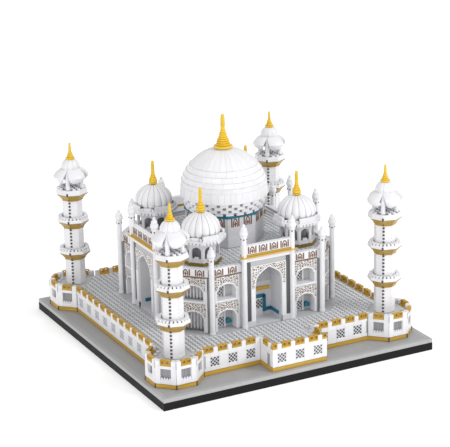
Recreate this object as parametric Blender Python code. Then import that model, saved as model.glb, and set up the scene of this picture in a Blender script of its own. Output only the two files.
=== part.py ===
"""Tabletop micro-brick model of a white domed mausoleum on a walled terrace.

Every length below is in studs, the pitch of the bricks. Heights count up from the top of the
base tiling, and the plan counts from the middle of the building. PITCH turns studs into metres
when a piece is placed.
"""
import math

import bmesh
import bpy

PITCH = 0.004
GAP = 0.075                     # clearance between neighbouring pieces

# Base
BASE_HALF_X = 29.75
BASE_HALF_Y = 30.7
BASE_THICK = 1.5
TILE_THICK = 0.85
GROUND = BASE_THICK + TILE_THICK
BUILDING_Y = 0.9                # the building stands this far behind the middle of the base

# Terrace
CORNER = 23.5                   # centre of each bastion and minaret, along X and along Y
BASTION_SIDE = 4.3
HALF_SIDE = BASTION_SIDE / 2
APOTHEM = BASTION_SIDE * (1 + math.sqrt(2)) / 2
WALL_PLANE = CORNER + HALF_SIDE
WALL_END = CORNER - APOTHEM
WALL_THICK = 1.0
PLINTH_TOP = 0.8
DECK_TOP = 4.7
MERLON_TOP = 5.75
POST_TOP = 5.5
PORCH_HALF = 6.0
PORCH_DEPTH = 4.9
WINDOW_WIDTH = 2.1
WINDOW_LOW = 1.9
WINDOW_HIGH = 3.95
WINDOW_DEPTH = 0.45

# Minarets
MINARET_TURN = math.radians(-129)
SHAFT_APOTHEM = 1.97
CORBEL_LEVELS = (10.2, 17.05, 23.1)
BALCONY_HEIGHT = 2.5
BALCONY_APOTHEM = 3.2
KIOSK_FLOOR = CORBEL_LEVELS[2] + BALCONY_HEIGHT
KIOSK_COLUMN_RADIUS = 0.5
KIOSK_COLUMN_SPREAD = 2.2
KIOSK_TOP = 31.7
KIOSK_ROOF = (
    (0.0, 27.35), (2.4, 27.35), (3.3, 27.9), (3.8, 28.55), (3.2, 29.1), (2.0, 29.75),
    (1.85, 30.1), (1.75, 30.8), (1.4, 31.4), (1.0, KIOSK_TOP), (0.0, KIOSK_TOP),
)

# Hall
CORE_HALF = 12.25
PORTAL_HALF = 5.6
PORTAL_FACE = 18.3
PORTAL_BACK = 13.7              # back wall of the recess
PORTAL_TOP = 21.7
PORTAL_ARCH_HALF = 2.95
PORTAL_ARCH_SPRING = 12.6
PORTAL_ARCH_TOP = 16.8
WING_FACE = 17.3
WING_CORNER = 12.35
PARAPET_THICK = 0.9
PARAPET_TOP = 17.95
ROOF_UNDER = 17.3
ROOF_TOP = 17.6
ROOF_HALF = 16.1
ROOF_CUT = 11.8
NICHE_HALF = 2.05
NICHE_DEPTH = 1.9
BAY_CENTRE = 8.85
NICHES = ((4.85, 7.9, 9.2), (11.2, 13.4, 14.6))      # sill, spring and crown of each storey
COLUMN_RADIUS = 0.55
PORTAL_COLUMN = (5.35, 18.3, 23.4, 26.4)             # across, forward, shaft top, bud tip
CORNER_COLUMN = (12.35, 18.0, 20.2, 22.9)
PIER_APOTHEM = 0.55

# Drum and dome
DRUM_APOTHEM = 7.35
DRUM_TOP = 23.75
BAND_APOTHEM = 7.6
BAND_TOP = 24.35
DOME_RADIUS = 8.85
DOME_CENTRE = 27.6
DOME_SKIRT = 27.0               # foot of the dome's upright lowest courses
DOME_TOP = 36.45

# Roof pavilions
PAVILION_AT = 10.75
PAVILION_FOOT = 18.2
PAVILION_ARCADE = 21.9
PAVILION_EAVE = 23.3
PAVILION_TOP = 27.6
ARCADE_APOTHEM = 3.3
EAVE_APOTHEM = 4.5
ARCADE_OPENING_HALF = 0.95
PAVILION_DOME = (
    (0.0, 23.0), (3.5, 23.0), (3.85, 24.2), (3.75, 25.2), (3.2, 26.3),
    (2.2, 27.15), (1.0, PAVILION_TOP), (0.0, PAVILION_TOP),
)

# Colours: base colour, roughness, metallic
BLACK = ((0.012, 0.012, 0.013), 0.4, 0.0)
TILE_GREY = ((0.38, 0.38, 0.38), 0.35, 0.0)
PEARL_GOLD = ((0.42, 0.25, 0.05), 0.35, 0.3)
LIGHT_GREY = ((0.6, 0.6, 0.62), 0.4, 0.0)
HALL_GREY = ((0.72, 0.72, 0.74), 0.4, 0.0)
WHITE = ((0.86, 0.86, 0.88), 0.35, 0.0)
YELLOW_GOLD = ((0.85, 0.5, 0.02), 0.3, 0.2)
TEAL = ((0.0, 0.19, 0.3), 0.35, 0.0)


def clear_scene():
    for thing in list(bpy.data.objects):
        bpy.data.objects.remove(thing, do_unlink=True)


def material(name, colour):
    tone, roughness, metallic = colour
    made = bpy.data.materials.new(name)
    made.use_nodes = True
    shader = made.node_tree.nodes["Principled BSDF"]
    shader.inputs["Base Color"].default_value = (*tone, 1.0)
    shader.inputs["Roughness"].default_value = roughness
    shader.inputs["Metallic"].default_value = metallic
    return made


def place(name, bm, colour, at=(0.0, 0.0, 0.0), turn=0.0, smooth=False):
    """Turn a mesh in studs into a named object in metres, standing on the base tiling."""
    bmesh.ops.recalc_face_normals(bm, faces=bm.faces)
    bmesh.ops.scale(bm, vec=(PITCH, PITCH, PITCH), verts=bm.verts)
    mesh = bpy.data.meshes.new(name)
    bm.to_mesh(mesh)
    bm.free()
    piece = bpy.data.objects.new(name, mesh)
    bpy.context.scene.collection.objects.link(piece)
    across, along, up = at
    piece.location = (across * PITCH, (along + BUILDING_Y) * PITCH, (up + GROUND) * PITCH)
    piece.rotation_euler = (0.0, 0.0, turn)
    mesh.materials.append(material(name, colour))
    if smooth:
        mesh.shade_smooth()
        mesh.set_sharp_from_angle(angle=math.radians(35))
    return piece


def combine(piece, others, operation):
    """Fuse or carve a piece with other solids, and clear those solids away."""
    for other in others:
        step = piece.modifiers.new("combine", "BOOLEAN")
        step.operation = operation
        step.solver = "EXACT"
        step.object = other
    bpy.context.view_layer.update()
    graph = bpy.context.evaluated_depsgraph_get()
    mesh = bpy.data.meshes.new_from_object(piece.evaluated_get(graph))
    piece.modifiers.clear()
    piece.data = mesh
    for other in others:
        bpy.data.objects.remove(other, do_unlink=True)
    return piece


def turned(point, angle):
    cos, sin = math.cos(angle), math.sin(angle)
    return (point[0] * cos - point[1] * sin, point[0] * sin + point[1] * cos)


def prism(outline, low, high):
    """An upright solid on a plan outline that runs anticlockwise."""
    bm = bmesh.new()
    bottom = [bm.verts.new((x, y, low)) for x, y in outline]
    top = [bm.verts.new((x, y, high)) for x, y in outline]
    bm.faces.new(list(reversed(bottom)))
    bm.faces.new(top)
    count = len(outline)
    for i in range(count):
        j = (i + 1) % count
        bm.faces.new((bottom[i], bottom[j], top[j], top[i]))
    return bm


def upright_slab(elevation, front, back):
    """A slab that faces -Y, from its elevation outline in X and Z."""
    bm = bmesh.new()
    near = [bm.verts.new((x, front, z)) for x, z in elevation]
    far = [bm.verts.new((x, back, z)) for x, z in elevation]
    bm.faces.new(near)
    bm.faces.new(list(reversed(far)))
    count = len(elevation)
    for i in range(count):
        j = (i + 1) % count
        bm.faces.new((near[i], near[j], far[j], far[i]))
    return bm


def lathe(profile, segments, start=0.0):
    """A turned solid. The profile runs from the axis at the bottom to the axis at the top."""
    bm = bmesh.new()
    rings = []
    for radius, height in profile:
        if radius == 0.0:
            rings.append([bm.verts.new((0.0, 0.0, height))])
            continue
        ring = []
        for i in range(segments):
            angle = start + 2 * math.pi * i / segments
            ring.append(bm.verts.new((radius * math.cos(angle), radius * math.sin(angle), height)))
        rings.append(ring)
    for lower, upper in zip(rings, rings[1:]):
        for i in range(segments):
            j = (i + 1) % segments
            corners = [lower[i % len(lower)], lower[j % len(lower)],
                       upper[j % len(upper)], upper[i % len(upper)]]
            bm.faces.new(list(dict.fromkeys(corners)))
    return bm


def hoop(profile, segments, start=0.0):
    """A turned ring round an open middle, from a closed profile that misses the axis."""
    bm = bmesh.new()
    loops = []
    for i in range(segments):
        angle = start + 2 * math.pi * i / segments
        loops.append([bm.verts.new((r * math.cos(angle), r * math.sin(angle), z))
                      for r, z in profile])
    count = len(profile)
    for i in range(segments):
        here, there = loops[i], loops[(i + 1) % segments]
        for k in range(count):
            n = (k + 1) % count
            bm.faces.new((here[k], there[k], there[n], here[n]))
    return bm


def octagon(apothem):
    """The eight corners of an octagon with its sides square to X and Y, anticlockwise."""
    radius = apothem / math.cos(math.pi / 8)
    angles = [math.pi * (2 * i + 1) / 8 for i in range(8)]
    return [(radius * math.cos(a), radius * math.sin(a)) for a in angles]


def on_flats(profile):
    """Turn distances to the flats of an octagon into distances to its corners."""
    return [(r / math.cos(math.pi / 8), z) for r, z in profile]


def terrace_outline(inset):
    """The terrace in plan: four octagonal corners, straight walls and the porch in front."""
    apothem = APOTHEM - inset
    half = apothem * math.tan(math.pi / 8)
    plane = WALL_PLANE - inset
    corner = [
        (-plane, -CORNER + apothem), (-CORNER - half, -CORNER + apothem),
        (-CORNER - apothem, -CORNER + half), (-CORNER - apothem, -CORNER - half),
        (-CORNER - half, -CORNER - apothem), (-CORNER + half, -CORNER - apothem),
        (-CORNER + apothem, -CORNER - half), (-CORNER + apothem, -plane),
    ]
    if inset == 0:
        corner = corner[1:-1]
    side = PORCH_HALF - inset
    front = plane + PORCH_DEPTH
    porch = [(-side, -plane), (-side, -front), (side, -front), (side, -plane)]
    outline = list(corner) + porch
    for quarter in (1, 2, 3):
        outline += [turned(p, quarter * math.pi / 2) for p in corner]
    return outline


def cells(pattern):
    """Split one side of a wall into (end fraction, top height) cells from 'm' and 'p' widths."""
    total = sum(width for _, width in pattern)
    run = 0.0
    result = []
    for kind, width in pattern:
        run += width / total
        result.append((min(run, 1.0), MERLON_TOP if kind == "m" else POST_TOP))
    return result


def crenellated(sides, low):
    """A wall along a path, with a top that steps between merlons and posts.

    Each side is (outer start, outer end, inner start, inner end, cells).
    """
    stations = []
    heights = []
    for outer_a, outer_b, inner_a, inner_b, side_cells in sides:
        if not stations:
            stations.append((outer_a, inner_a))
        for fraction, height in side_cells:
            outer = tuple(a + (b - a) * fraction for a, b in zip(outer_a, outer_b))
            inner = tuple(a + (b - a) * fraction for a, b in zip(inner_a, inner_b))
            stations.append((outer, inner))
            heights.append(height)
    bm = bmesh.new()
    made = {}

    def corner(station, face, height):
        key = (station, face, height)
        if key not in made:
            x, y = stations[station][face]
            made[key] = bm.verts.new((x, y, height))
        return made[key]

    count = len(heights)
    for i, height in enumerate(heights):
        before = heights[i - 1] if i > 0 else None
        after = heights[i + 1] if i + 1 < count else None
        for face in (0, 1):
            loop = [corner(i, face, low), corner(i + 1, face, low)]
            if after is not None and after < height:
                loop.append(corner(i + 1, face, after))
            loop.append(corner(i + 1, face, height))
            loop.append(corner(i, face, height))
            if before is not None and before < height:
                loop.append(corner(i, face, before))
            bm.faces.new(loop)
        for level in (low, height):
            bm.faces.new((corner(i, 0, level), corner(i + 1, 0, level),
                          corner(i + 1, 1, level), corner(i, 1, level)))
        if after is not None and after != height:
            lower, upper = sorted((height, after))
            bm.faces.new((corner(i + 1, 0, lower), corner(i + 1, 0, upper),
                          corner(i + 1, 1, upper), corner(i + 1, 1, lower)))
    for station, height in ((0, heights[0]), (count, heights[-1])):
        bm.faces.new((corner(station, 0, low), corner(station, 0, height),
                      corner(station, 1, height), corner(station, 1, low)))
    return bm


def arch_outline(half, sill, spring, crown, steps, sharp=1.0):
    """A pointed arch opening as an X and Z outline, anticlockwise seen from -Y."""
    points = [(-half, sill), (half, sill)]
    for i in range(steps + 1):
        t = i / steps
        across = half * (1 - t ** (1 + sharp))
        up = spring + (crown - spring) * math.sin(t * math.pi / 2) ** (1 / sharp)
        points.append((across, up))
    for i in range(steps - 1, -1, -1):
        across, up = points[2 + i]
        points.append((-across, up))
    return points


def make_base():
    half_x, half_y = BASE_HALF_X, BASE_HALF_Y
    box = [(-half_x, -half_y), (half_x, -half_y), (half_x, half_y), (-half_x, half_y)]
    plate = prism([(x, y - BUILDING_Y) for x, y in box], -GROUND, -TILE_THICK)
    place("base_plate", plate, BLACK)
    tiles = prism([(x * 0.999, y * 0.999 - BUILDING_Y) for x, y in box], -TILE_THICK + GAP, 0.0)
    place("base_tiles", tiles, TILE_GREY)


def make_terrace():
    place("plinth_course", prism(terrace_outline(0.0), GAP, PLINTH_TOP), PEARL_GOLD)
    deck = prism(terrace_outline(WALL_THICK + GAP), PLINTH_TOP + GAP, DECK_TOP)
    place("terrace_deck", deck, LIGHT_GREY)


def straight_side(start, end, pattern, start_skew, end_skew):
    """One front wall run, seen from outside, with its inner face lengthened by the skews."""
    outer = -WALL_PLANE
    inner = outer + WALL_THICK
    return ((start, outer), (end, outer), (start - start_skew, inner), (end + end_skew, inner),
            cells(pattern))


def make_walls():
    low = PLINTH_TOP + GAP
    long_run = [("m", 2), ("p", 1)] * 12
    short_run = [("m", 2), ("p", 1)] * 4
    reach = WALL_END - GAP
    skew = WALL_THICK - GAP
    full = straight_side(-reach, reach, long_run, skew, skew)
    for name, quarter in (("wall_right", 1), ("wall_back", 2), ("wall_left", 3)):
        place(name, crenellated([full], low), WHITE, turn=quarter * math.pi / 2)
    near = PORCH_HALF + GAP
    left = straight_side(-reach, -near, short_run, skew, 0.0)
    right = straight_side(near, reach, list(reversed(short_run)), 0.0, skew)
    place("wall_front_left", crenellated([left], low), WHITE)
    place("wall_front_right", crenellated([right], low), WHITE)
    outer, inner = PORCH_HALF, PORCH_HALF - WALL_THICK
    back = -WALL_PLANE + WALL_THICK
    front = -WALL_PLANE - PORCH_DEPTH
    flank = [("p", 1), ("m", 1.9), ("p", 1), ("m", 2)]
    face = [("m", 1), ("p", 1)] + [("m", 2), ("p", 1)] * 3 + [("m", 1)]
    inner_front = front + WALL_THICK
    sides = [
        ((-outer, back), (-outer, front), (-inner, back), (-inner, inner_front), cells(flank)),
        ((-outer, front), (outer, front), (-inner, inner_front), (inner, inner_front),
         cells(face)),
        ((outer, front), (outer, back), (inner, inner_front), (inner, back),
         cells(list(reversed(flank)))),
    ]
    place("porch_wall", crenellated(sides, low), WHITE)


def window_cutter(angle):
    """A block that sinks one bastion window, on the side that faces along the angle."""
    near, far = APOTHEM - WINDOW_DEPTH, APOTHEM + 1.0
    half = WINDOW_WIDTH / 2
    plan = [(near, -half), (far, -half), (far, half), (near, half)]
    return prism([turned(p, angle) for p in plan], WINDOW_LOW, WINDOW_HIGH)


def make_bastion(name, quarter):
    """Five of an octagon's sides: the ones that look away from the building."""
    outer = octagon(APOTHEM)
    inner = octagon(APOTHEM - WALL_THICK)
    pattern = cells([("p", 1.15), ("m", 2.0), ("p", 1.15)])
    spin = quarter * math.pi / 2
    sides = []
    for start in range(2, 7):
        end = start + 1
        sides.append((outer[start], outer[end], inner[start], inner[end], pattern))
    centre = turned((-CORNER, -CORNER), spin)
    piece = place(name, crenellated(sides, PLINTH_TOP + GAP), WHITE, (*centre, 0.0), spin)
    cutters = []
    for k in range(5):
        angle = math.radians(135 + 45 * k)
        cutters.append(place("cutter", window_cutter(angle), WHITE, (*centre, 0.0), spin))
    combine(piece, cutters, "DIFFERENCE")


def bud_column(top, tip):
    """The profile of a slender round column with a bud on top, from the deck upwards."""
    foot = DECK_TOP + GAP
    rise = tip - top
    return (
        (0.0, foot), (COLUMN_RADIUS, foot), (COLUMN_RADIUS, top), (0.32, top + 0.12 * rise),
        (0.78, top + 0.2 * rise), (0.76, top + 0.5 * rise), (0.3, top + 0.8 * rise),
        (0.3, top + 0.92 * rise), (0.0, tip),
    )


def columns(stations, turn):
    made = []
    for across, forward, top, tip in stations:
        x, y = turned((across, forward), turn)
        made.append(place("column", lathe(bud_column(top, tip), 10), WHITE, (x, y, 0.0)))
    return made


def make_portal(name, turn):
    foot = DECK_TOP + GAP
    arch = arch_outline(PORTAL_ARCH_HALF, foot, PORTAL_ARCH_SPRING, PORTAL_ARCH_TOP, 6)
    jambs = [(-PORTAL_HALF, foot), arch[0]] + list(reversed(arch[2:])) + [arch[1]]
    jambs += [(PORTAL_HALF, foot), (PORTAL_HALF, ROOF_UNDER), (-PORTAL_HALF, ROOF_UNDER)]
    back = -CORE_HALF - GAP
    piece = place(name, upright_slab(jambs, -PORTAL_FACE, back), HALL_GREY, turn=turn)
    shield = [(-PORTAL_HALF, ROOF_UNDER - 0.5), (PORTAL_HALF, ROOF_UNDER - 0.5),
              (PORTAL_HALF, PORTAL_TOP), (-PORTAL_HALF, PORTAL_TOP)]
    front = place("shield", upright_slab(shield, -PORTAL_FACE - 0.1, -PORTAL_FACE + 1.0),
                  HALL_GREY, turn=turn)
    across, forward, top, tip = PORTAL_COLUMN
    pair = [(side * across, -forward, top, tip) for side in (-1, 1)]
    rear = [(-PORTAL_HALF, foot), (PORTAL_HALF, foot), (PORTAL_HALF, ROOF_UNDER),
            (-PORTAL_HALF, ROOF_UNDER)]
    wall = place("wall", upright_slab(rear, -PORTAL_BACK, back), HALL_GREY, turn=turn)
    combine(piece, [front, wall] + columns(pair, turn), "UNION")


def niche_cutters(turn):
    """Six niche shapes for one wing: two storeys on each of its three outward faces."""
    chamfer = (WING_FACE + WING_CORNER) / math.sqrt(2)
    made = []
    for angle, shift, face in ((0.0, BAY_CENTRE, WING_FACE), (math.pi / 4, 0.0, chamfer),
                               (math.pi / 2, -BAY_CENTRE, WING_FACE)):
        for sill, spring, crown in NICHES:
            outline = arch_outline(NICHE_HALF, sill, spring, crown, 4, 0.8)
            outline = [(x + shift, z) for x, z in outline]
            solid = upright_slab(outline, -face - 0.5, -face + NICHE_DEPTH)
            made.append(place("cutter", solid, WHITE, turn=angle + turn))
    return made


def make_wing(name, turn):
    start = PORTAL_HALF + GAP
    back = CORE_HALF + GAP
    face, corner = WING_FACE, WING_CORNER
    outline = [(start, -face), (corner, -face), (face, -corner), (face, -start),
               (back, -start), (back, -back), (start, -back)]
    piece = place(name, prism(outline, DECK_TOP + GAP, ROOF_UNDER), HALL_GREY, turn=turn)
    inner_corner = corner - PARAPET_THICK * math.tan(math.pi / 8)
    inner_face = face - PARAPET_THICK
    level = [(1.0, PARAPET_TOP)]
    strip = crenellated([
        ((start, -face), (corner, -face), (start, -inner_face), (inner_corner, -inner_face), level),
        ((corner, -face), (face, -corner), (inner_corner, -inner_face),
         (inner_face, -inner_corner), level),
        ((face, -corner), (face, -start), (inner_face, -inner_corner), (inner_face, -start), level),
    ], ROOF_UNDER - 0.4)
    parapet = place("parapet", strip, HALL_GREY, turn=turn)
    across, forward, top, tip = CORNER_COLUMN
    pair = [(across, -forward, top, tip), (forward, -across, top, tip)]
    piers = []
    for x, y, _, _ in pair:
        pier = [(0.97 * x + a, 0.97 * y + b) for a, b in octagon(PIER_APOTHEM)]
        piers.append(place("pier", prism(pier, DECK_TOP + GAP, PARAPET_TOP), HALL_GREY, turn=turn))
    combine(piece, niche_cutters(turn), "DIFFERENCE")
    combine(piece, [parapet] + piers + columns(pair, turn), "UNION")


def make_hall():
    foot = DECK_TOP + GAP
    half = CORE_HALF
    core = [(-half, -half), (half, -half), (half, half), (-half, half)]
    place("hall_core", prism(core, foot, ROOF_UNDER), HALL_GREY)
    for quarter, side in enumerate(("front", "right", "back", "left")):
        make_portal("portal_" + side, quarter * math.pi / 2)
    for quarter, side in enumerate(("front_right", "back_right", "back_left", "front_left")):
        make_wing("wing_" + side, quarter * math.pi / 2)
    plan = [(ROOF_CUT, -ROOF_HALF), (ROOF_HALF, -ROOF_CUT)]
    outline = []
    for quarter in range(4):
        outline += [turned(p, quarter * math.pi / 2) for p in plan]
    place("hall_roof", prism(outline, ROOF_UNDER + GAP, ROOF_TOP), LIGHT_GREY)


def make_dome():
    place("dome_drum", prism(octagon(DRUM_APOTHEM), ROOF_TOP + GAP, DRUM_TOP), HALL_GREY)
    place("drum_band", prism(octagon(BAND_APOTHEM), DRUM_TOP + GAP, BAND_TOP), TEAL)
    low = BAND_TOP + GAP
    profile = [(0.0, low), (BAND_APOTHEM + 0.2, low), (DOME_RADIUS, DOME_SKIRT)]
    last = math.radians(77)
    for i in range(10):
        angle = last * i / 9
        profile.append((DOME_RADIUS * math.cos(angle), DOME_CENTRE + DOME_RADIUS * math.sin(angle)))
    profile.append((0.0, DOME_TOP))
    place("main_dome", lathe(profile, 32), WHITE, smooth=True)
    foot = DOME_TOP + GAP
    finial = (
        (0.0, foot), (1.95, foot), (1.85, foot + 0.45), (1.35, foot + 0.8), (1.3, foot + 1.4),
        (1.0, foot + 1.7), (0.95, foot + 2.4), (0.65, foot + 2.8), (0.6, foot + 3.7),
        (0.5, foot + 4.2), (0.4, foot + 6.55), (0.0, foot + 6.85),
    )
    place("main_finial", lathe(finial, 14), YELLOW_GOLD, smooth=True)


def make_pavilion(name, x, y):
    at = (x, y, 0.0)
    foot = place(name, prism(octagon(ARCADE_APOTHEM + 0.35), ROOF_TOP + GAP, PAVILION_FOOT),
                 WHITE, at)
    arcade = place("arcade", prism(octagon(ARCADE_APOTHEM), PAVILION_FOOT - 0.2, PAVILION_ARCADE),
                   WHITE, at)
    outline = arch_outline(ARCADE_OPENING_HALF, PAVILION_FOOT + 0.7, 20.2, 21.2, 3)
    tunnels = []
    for i in range(4):
        tunnel = upright_slab(outline, -ARCADE_APOTHEM - 1, ARCADE_APOTHEM + 1)
        tunnels.append(place("cutter", tunnel, WHITE, at, i * math.pi / 4))
    combine(arcade, tunnels, "DIFFERENCE")
    eave_profile = on_flats([
        (0.0, PAVILION_ARCADE - 0.2), (ARCADE_APOTHEM + 0.1, PAVILION_ARCADE - 0.2),
        (EAVE_APOTHEM, PAVILION_ARCADE + 0.25), (EAVE_APOTHEM, PAVILION_ARCADE + 0.5),
        (3.7, PAVILION_EAVE), (0.0, PAVILION_EAVE),
    ])
    eave = place("eave", lathe(eave_profile, 8, math.pi / 8), WHITE, at)
    cap = place("cap", lathe(PAVILION_DOME, 24), WHITE, at)
    combine(foot, [arcade, eave, cap], "UNION")
    base = PAVILION_TOP + GAP
    finial = (
        (0.0, base), (0.9, base), (0.8, base + 0.9), (0.55, base + 1.3), (0.5, base + 1.9),
        (0.38, base + 2.4), (0.32, base + 4.7), (0.0, base + 4.95),
    )
    place(name + "_finial", lathe(finial, 10), YELLOW_GOLD, at, smooth=True)


def make_minaret(side, x, y):
    at = (x, y, 0.0)
    flats = SHAFT_APOTHEM
    shaft = lathe(on_flats([(0.0, DECK_TOP + GAP), (flats, DECK_TOP + GAP),
                            (flats, CORBEL_LEVELS[2] - GAP), (0.0, CORBEL_LEVELS[2] - GAP)]),
                  8, MINARET_TURN)
    place("shaft_" + side, shaft, WHITE, at)
    bore = SHAFT_APOTHEM + GAP
    rim = BALCONY_APOTHEM
    for level, low in zip(("lower", "middle"), CORBEL_LEVELS):
        gallery = on_flats([
            (bore, low), (2.2, low), (rim, low + 1.5), (rim, low + BALCONY_HEIGHT),
            (rim - 0.4, low + BALCONY_HEIGHT), (rim - 0.6, low + 2.1), (bore, low + 2.1),
        ])
        place(f"balcony_{level}_{side}", hoop(gallery, 8, MINARET_TURN), WHITE, at)
    low = CORBEL_LEVELS[2]
    deck = on_flats([(0.0, low), (2.2, low), (rim, low + 1.5), (rim, KIOSK_FLOOR),
                     (0.0, KIOSK_FLOOR)])
    place("balcony_upper_" + side, lathe(deck, 8, MINARET_TURN), WHITE, at)
    kiosk = place("kiosk_" + side, lathe(on_flats(KIOSK_ROOF), 8, MINARET_TURN), WHITE, at)
    posts = []
    foot = KIOSK_FLOOR + GAP
    head = KIOSK_ROOF[0][1] + 0.4
    for i in range(4):
        angle = MINARET_TURN + i * math.pi / 2
        spot = (x + KIOSK_COLUMN_SPREAD * math.cos(angle),
                y + KIOSK_COLUMN_SPREAD * math.sin(angle), 0.0)
        radius = KIOSK_COLUMN_RADIUS
        post = lathe(((0.0, foot), (radius, foot), (radius, head), (0.0, head)), 10)
        posts.append(place("post", post, WHITE, spot))
    combine(kiosk, posts, "UNION")
    base = KIOSK_TOP + GAP
    finial = (
        (0.0, base), (0.95, base), (0.9, base + 0.3), (0.65, base + 0.4), (0.55, base + 1.1),
        (0.3, base + 1.5), (0.24, base + 3.25), (0.0, base + 3.5),
    )
    place("finial_" + side, lathe(finial, 10), YELLOW_GOLD, at, smooth=True)


def main():
    clear_scene()
    make_base()
    make_terrace()
    make_walls()
    corners = ("front_left", "front_right", "back_right", "back_left")
    for quarter, side in enumerate(corners):
        make_bastion("bastion_" + side, quarter)
        x, y = turned((-CORNER, -CORNER), quarter * math.pi / 2)
        make_minaret(side, x, y)
    make_hall()
    make_dome()
    for quarter, side in enumerate(corners):
        x, y = turned((-PAVILION_AT, -PAVILION_AT), quarter * math.pi / 2)
        make_pavilion("pavilion_" + side, x, y)


main()
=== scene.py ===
"""Looks for the tabletop micro-brick model of a domed mausoleum.

Lengths are in studs, the pitch of the bricks, as in the CAD part. Heights count up from the top
of the base tiling and the plan counts from the middle of the building, which stand() moves to
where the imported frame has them.
"""
import math
import random

import bmesh
import bpy
from mathutils import Matrix, Vector


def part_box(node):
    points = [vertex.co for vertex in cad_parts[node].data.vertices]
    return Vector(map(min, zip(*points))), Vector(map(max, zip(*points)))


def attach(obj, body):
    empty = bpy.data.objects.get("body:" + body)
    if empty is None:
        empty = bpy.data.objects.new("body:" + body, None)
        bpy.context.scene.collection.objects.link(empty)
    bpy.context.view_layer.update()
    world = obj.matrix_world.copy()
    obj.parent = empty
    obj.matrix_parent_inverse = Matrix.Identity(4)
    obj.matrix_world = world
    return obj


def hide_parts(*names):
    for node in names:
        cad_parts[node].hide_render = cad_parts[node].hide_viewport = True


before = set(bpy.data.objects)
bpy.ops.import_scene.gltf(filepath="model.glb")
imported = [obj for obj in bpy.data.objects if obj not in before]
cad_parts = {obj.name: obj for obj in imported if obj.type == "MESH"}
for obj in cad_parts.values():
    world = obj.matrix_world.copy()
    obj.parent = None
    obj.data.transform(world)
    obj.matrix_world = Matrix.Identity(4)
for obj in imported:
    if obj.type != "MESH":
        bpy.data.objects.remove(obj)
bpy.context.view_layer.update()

PITCH = 0.004
DOME_LOW, DOME_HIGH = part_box("main_dome")
TILES_LOW, TILES_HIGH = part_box("base_tiles")
MIDDLE_X = (DOME_LOW[0] + DOME_HIGH[0]) / 2
MIDDLE_Y = (DOME_LOW[1] + DOME_HIGH[1]) / 2
FLOOR_Z = TILES_HIGH[2]
MODEL = "model"
EIGHTH = math.pi / 4
QUARTER = math.pi / 2
SLIT = 0.03                     # joint between neighbouring bricks

# Terrace, as in the CAD part
CORNER = 23.5
SIDE = 4.3
APOTHEM = SIDE * (1 + math.sqrt(2)) / 2
WALL_PLANE = CORNER + SIDE / 2
WALL_END = CORNER - APOTHEM
WALL_THICK = 1.0
WALL_FOOT = 0.875
COPING = 4.56
DECK_TOP = 4.7
POST_TOP = 5.55
PORCH_HALF = 6.0
PORCH_DEPTH = 4.9
HALL_CLEAR = 18.6               # no studs on the deck nearer to the middle than this
HALL_CLEAR_CUT = 32.6           # the same across the hall's cut corners, as x + y
SHAFT_CLEAR = 3.2
STUD_RADIUS = 0.36
STUD_HEIGHT = 0.22
LATTICE_LOW = 1.65
LATTICE_HIGH = 3.65
LATTICE_CELL = 0.37

# Minarets
TURN = math.radians(-129)
SHAFT = 1.97
BALCONY = 3.2
CORBELS = (10.2, 17.05, 23.1)
COURSE = 0.74                   # height of one course of the shaft
KIOSK_FLOOR = 25.6
KIOSK_POST_SPREAD = 2.2

# Hall
CORE = 12.25
PORTAL_HALF = 5.6
PORTAL_FACE = 18.3
PORTAL_BACK = 13.7
PORTAL_TOP = 21.7
WING_FACE = 17.3
WING_CORNER = 12.35
BAY = 8.85
ROOF_UNDER = 17.3
ROOF_TOP = 17.6
ROOF_STUD_REACH = 15.6
ROOF_STUD_CUT = 27.0            # the same across the roof's cut corners, as x + y
PAVILION_CLEAR = 4.2
HALL_FOOT = 4.775
NICHE_HALF = 2.05
NICHE_DEPTH = 1.9
STOREYS = ((4.85, 7.9, 9.2, 10.75), (11.2, 13.4, 14.6, 16.15))
PARAPET_LOW = 16.15
PARAPET_TOP = 17.95
COLUMN = 0.52
DOOR_LOW = 5.7
SKIRTING_TOP = 6.4
PORTAL_COLUMN = (5.35, -18.3, 23.4, 26.4)            # x, y, top of the shaft, tip of the bud
CORNER_COLUMNS = ((12.35, -18.0), (18.0, -12.35))
CORNER_BUD = (20.2, 22.9)
KEEL = ((1.0, 1.0), (0.985, 0.82), (0.93, 0.6), (0.74, 0.38), (0.42, 0.19), (0.0, 0.0))
LOW_ARCH = ((1.0, 1.0), (0.97, 0.68), (0.84, 0.4), (0.58, 0.19), (0.28, 0.06), (0.0, 0.0))

# Drum, dome and pavilions
DRUM = 7.35
BAND = 7.6
BAND_TOP = 24.35
DRUM_TOP = 23.8
DOME_CORE_TOP = 36.33
SKIRT = 27.0
DOME_RADIUS = 8.85
DOME_CENTRE = 27.6
PAVILION_AT = 10.75
PAVILION_BASE = 18.15
ARCADE = 3.3
ARCADE_SPRING = 20.5
EAVES = 4.5
EAVES_TOP = 22.86
SIDES = ("front_left", "front_right", "back_right", "back_left")


# ---------------------------------------------------------------- shapes

def octagon(apothem, turn=math.pi / 8):
    radius = apothem / math.cos(math.pi / 8)
    return [(radius * math.cos(turn + EIGHTH * i), radius * math.sin(turn + EIGHTH * i))
            for i in range(8)]


def octagon_at(x, y, apothem, turn=math.pi / 8):
    return [(x + px, y + py) for px, py in octagon(apothem, turn)]


def around(x, y, radius, angle):
    """A point at a radius and an angle from a plan point."""
    return x + radius * math.cos(angle), y + radius * math.sin(angle)


def circle(x, z, radius, count=12):
    return [around(x, z, radius, 2 * math.pi * i / count) for i in range(count)]


def arch_line(half, spring, crown, curve):
    """An arch from its right spring over the crown to its left spring.

    The curve gives pairs of half width and drop from the crown, as fractions.
    """
    right = [(half * across, crown - (crown - spring) * drop) for across, drop in curve]
    return right + [(-x, z) for x, z in reversed(right[:-1])]


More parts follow.
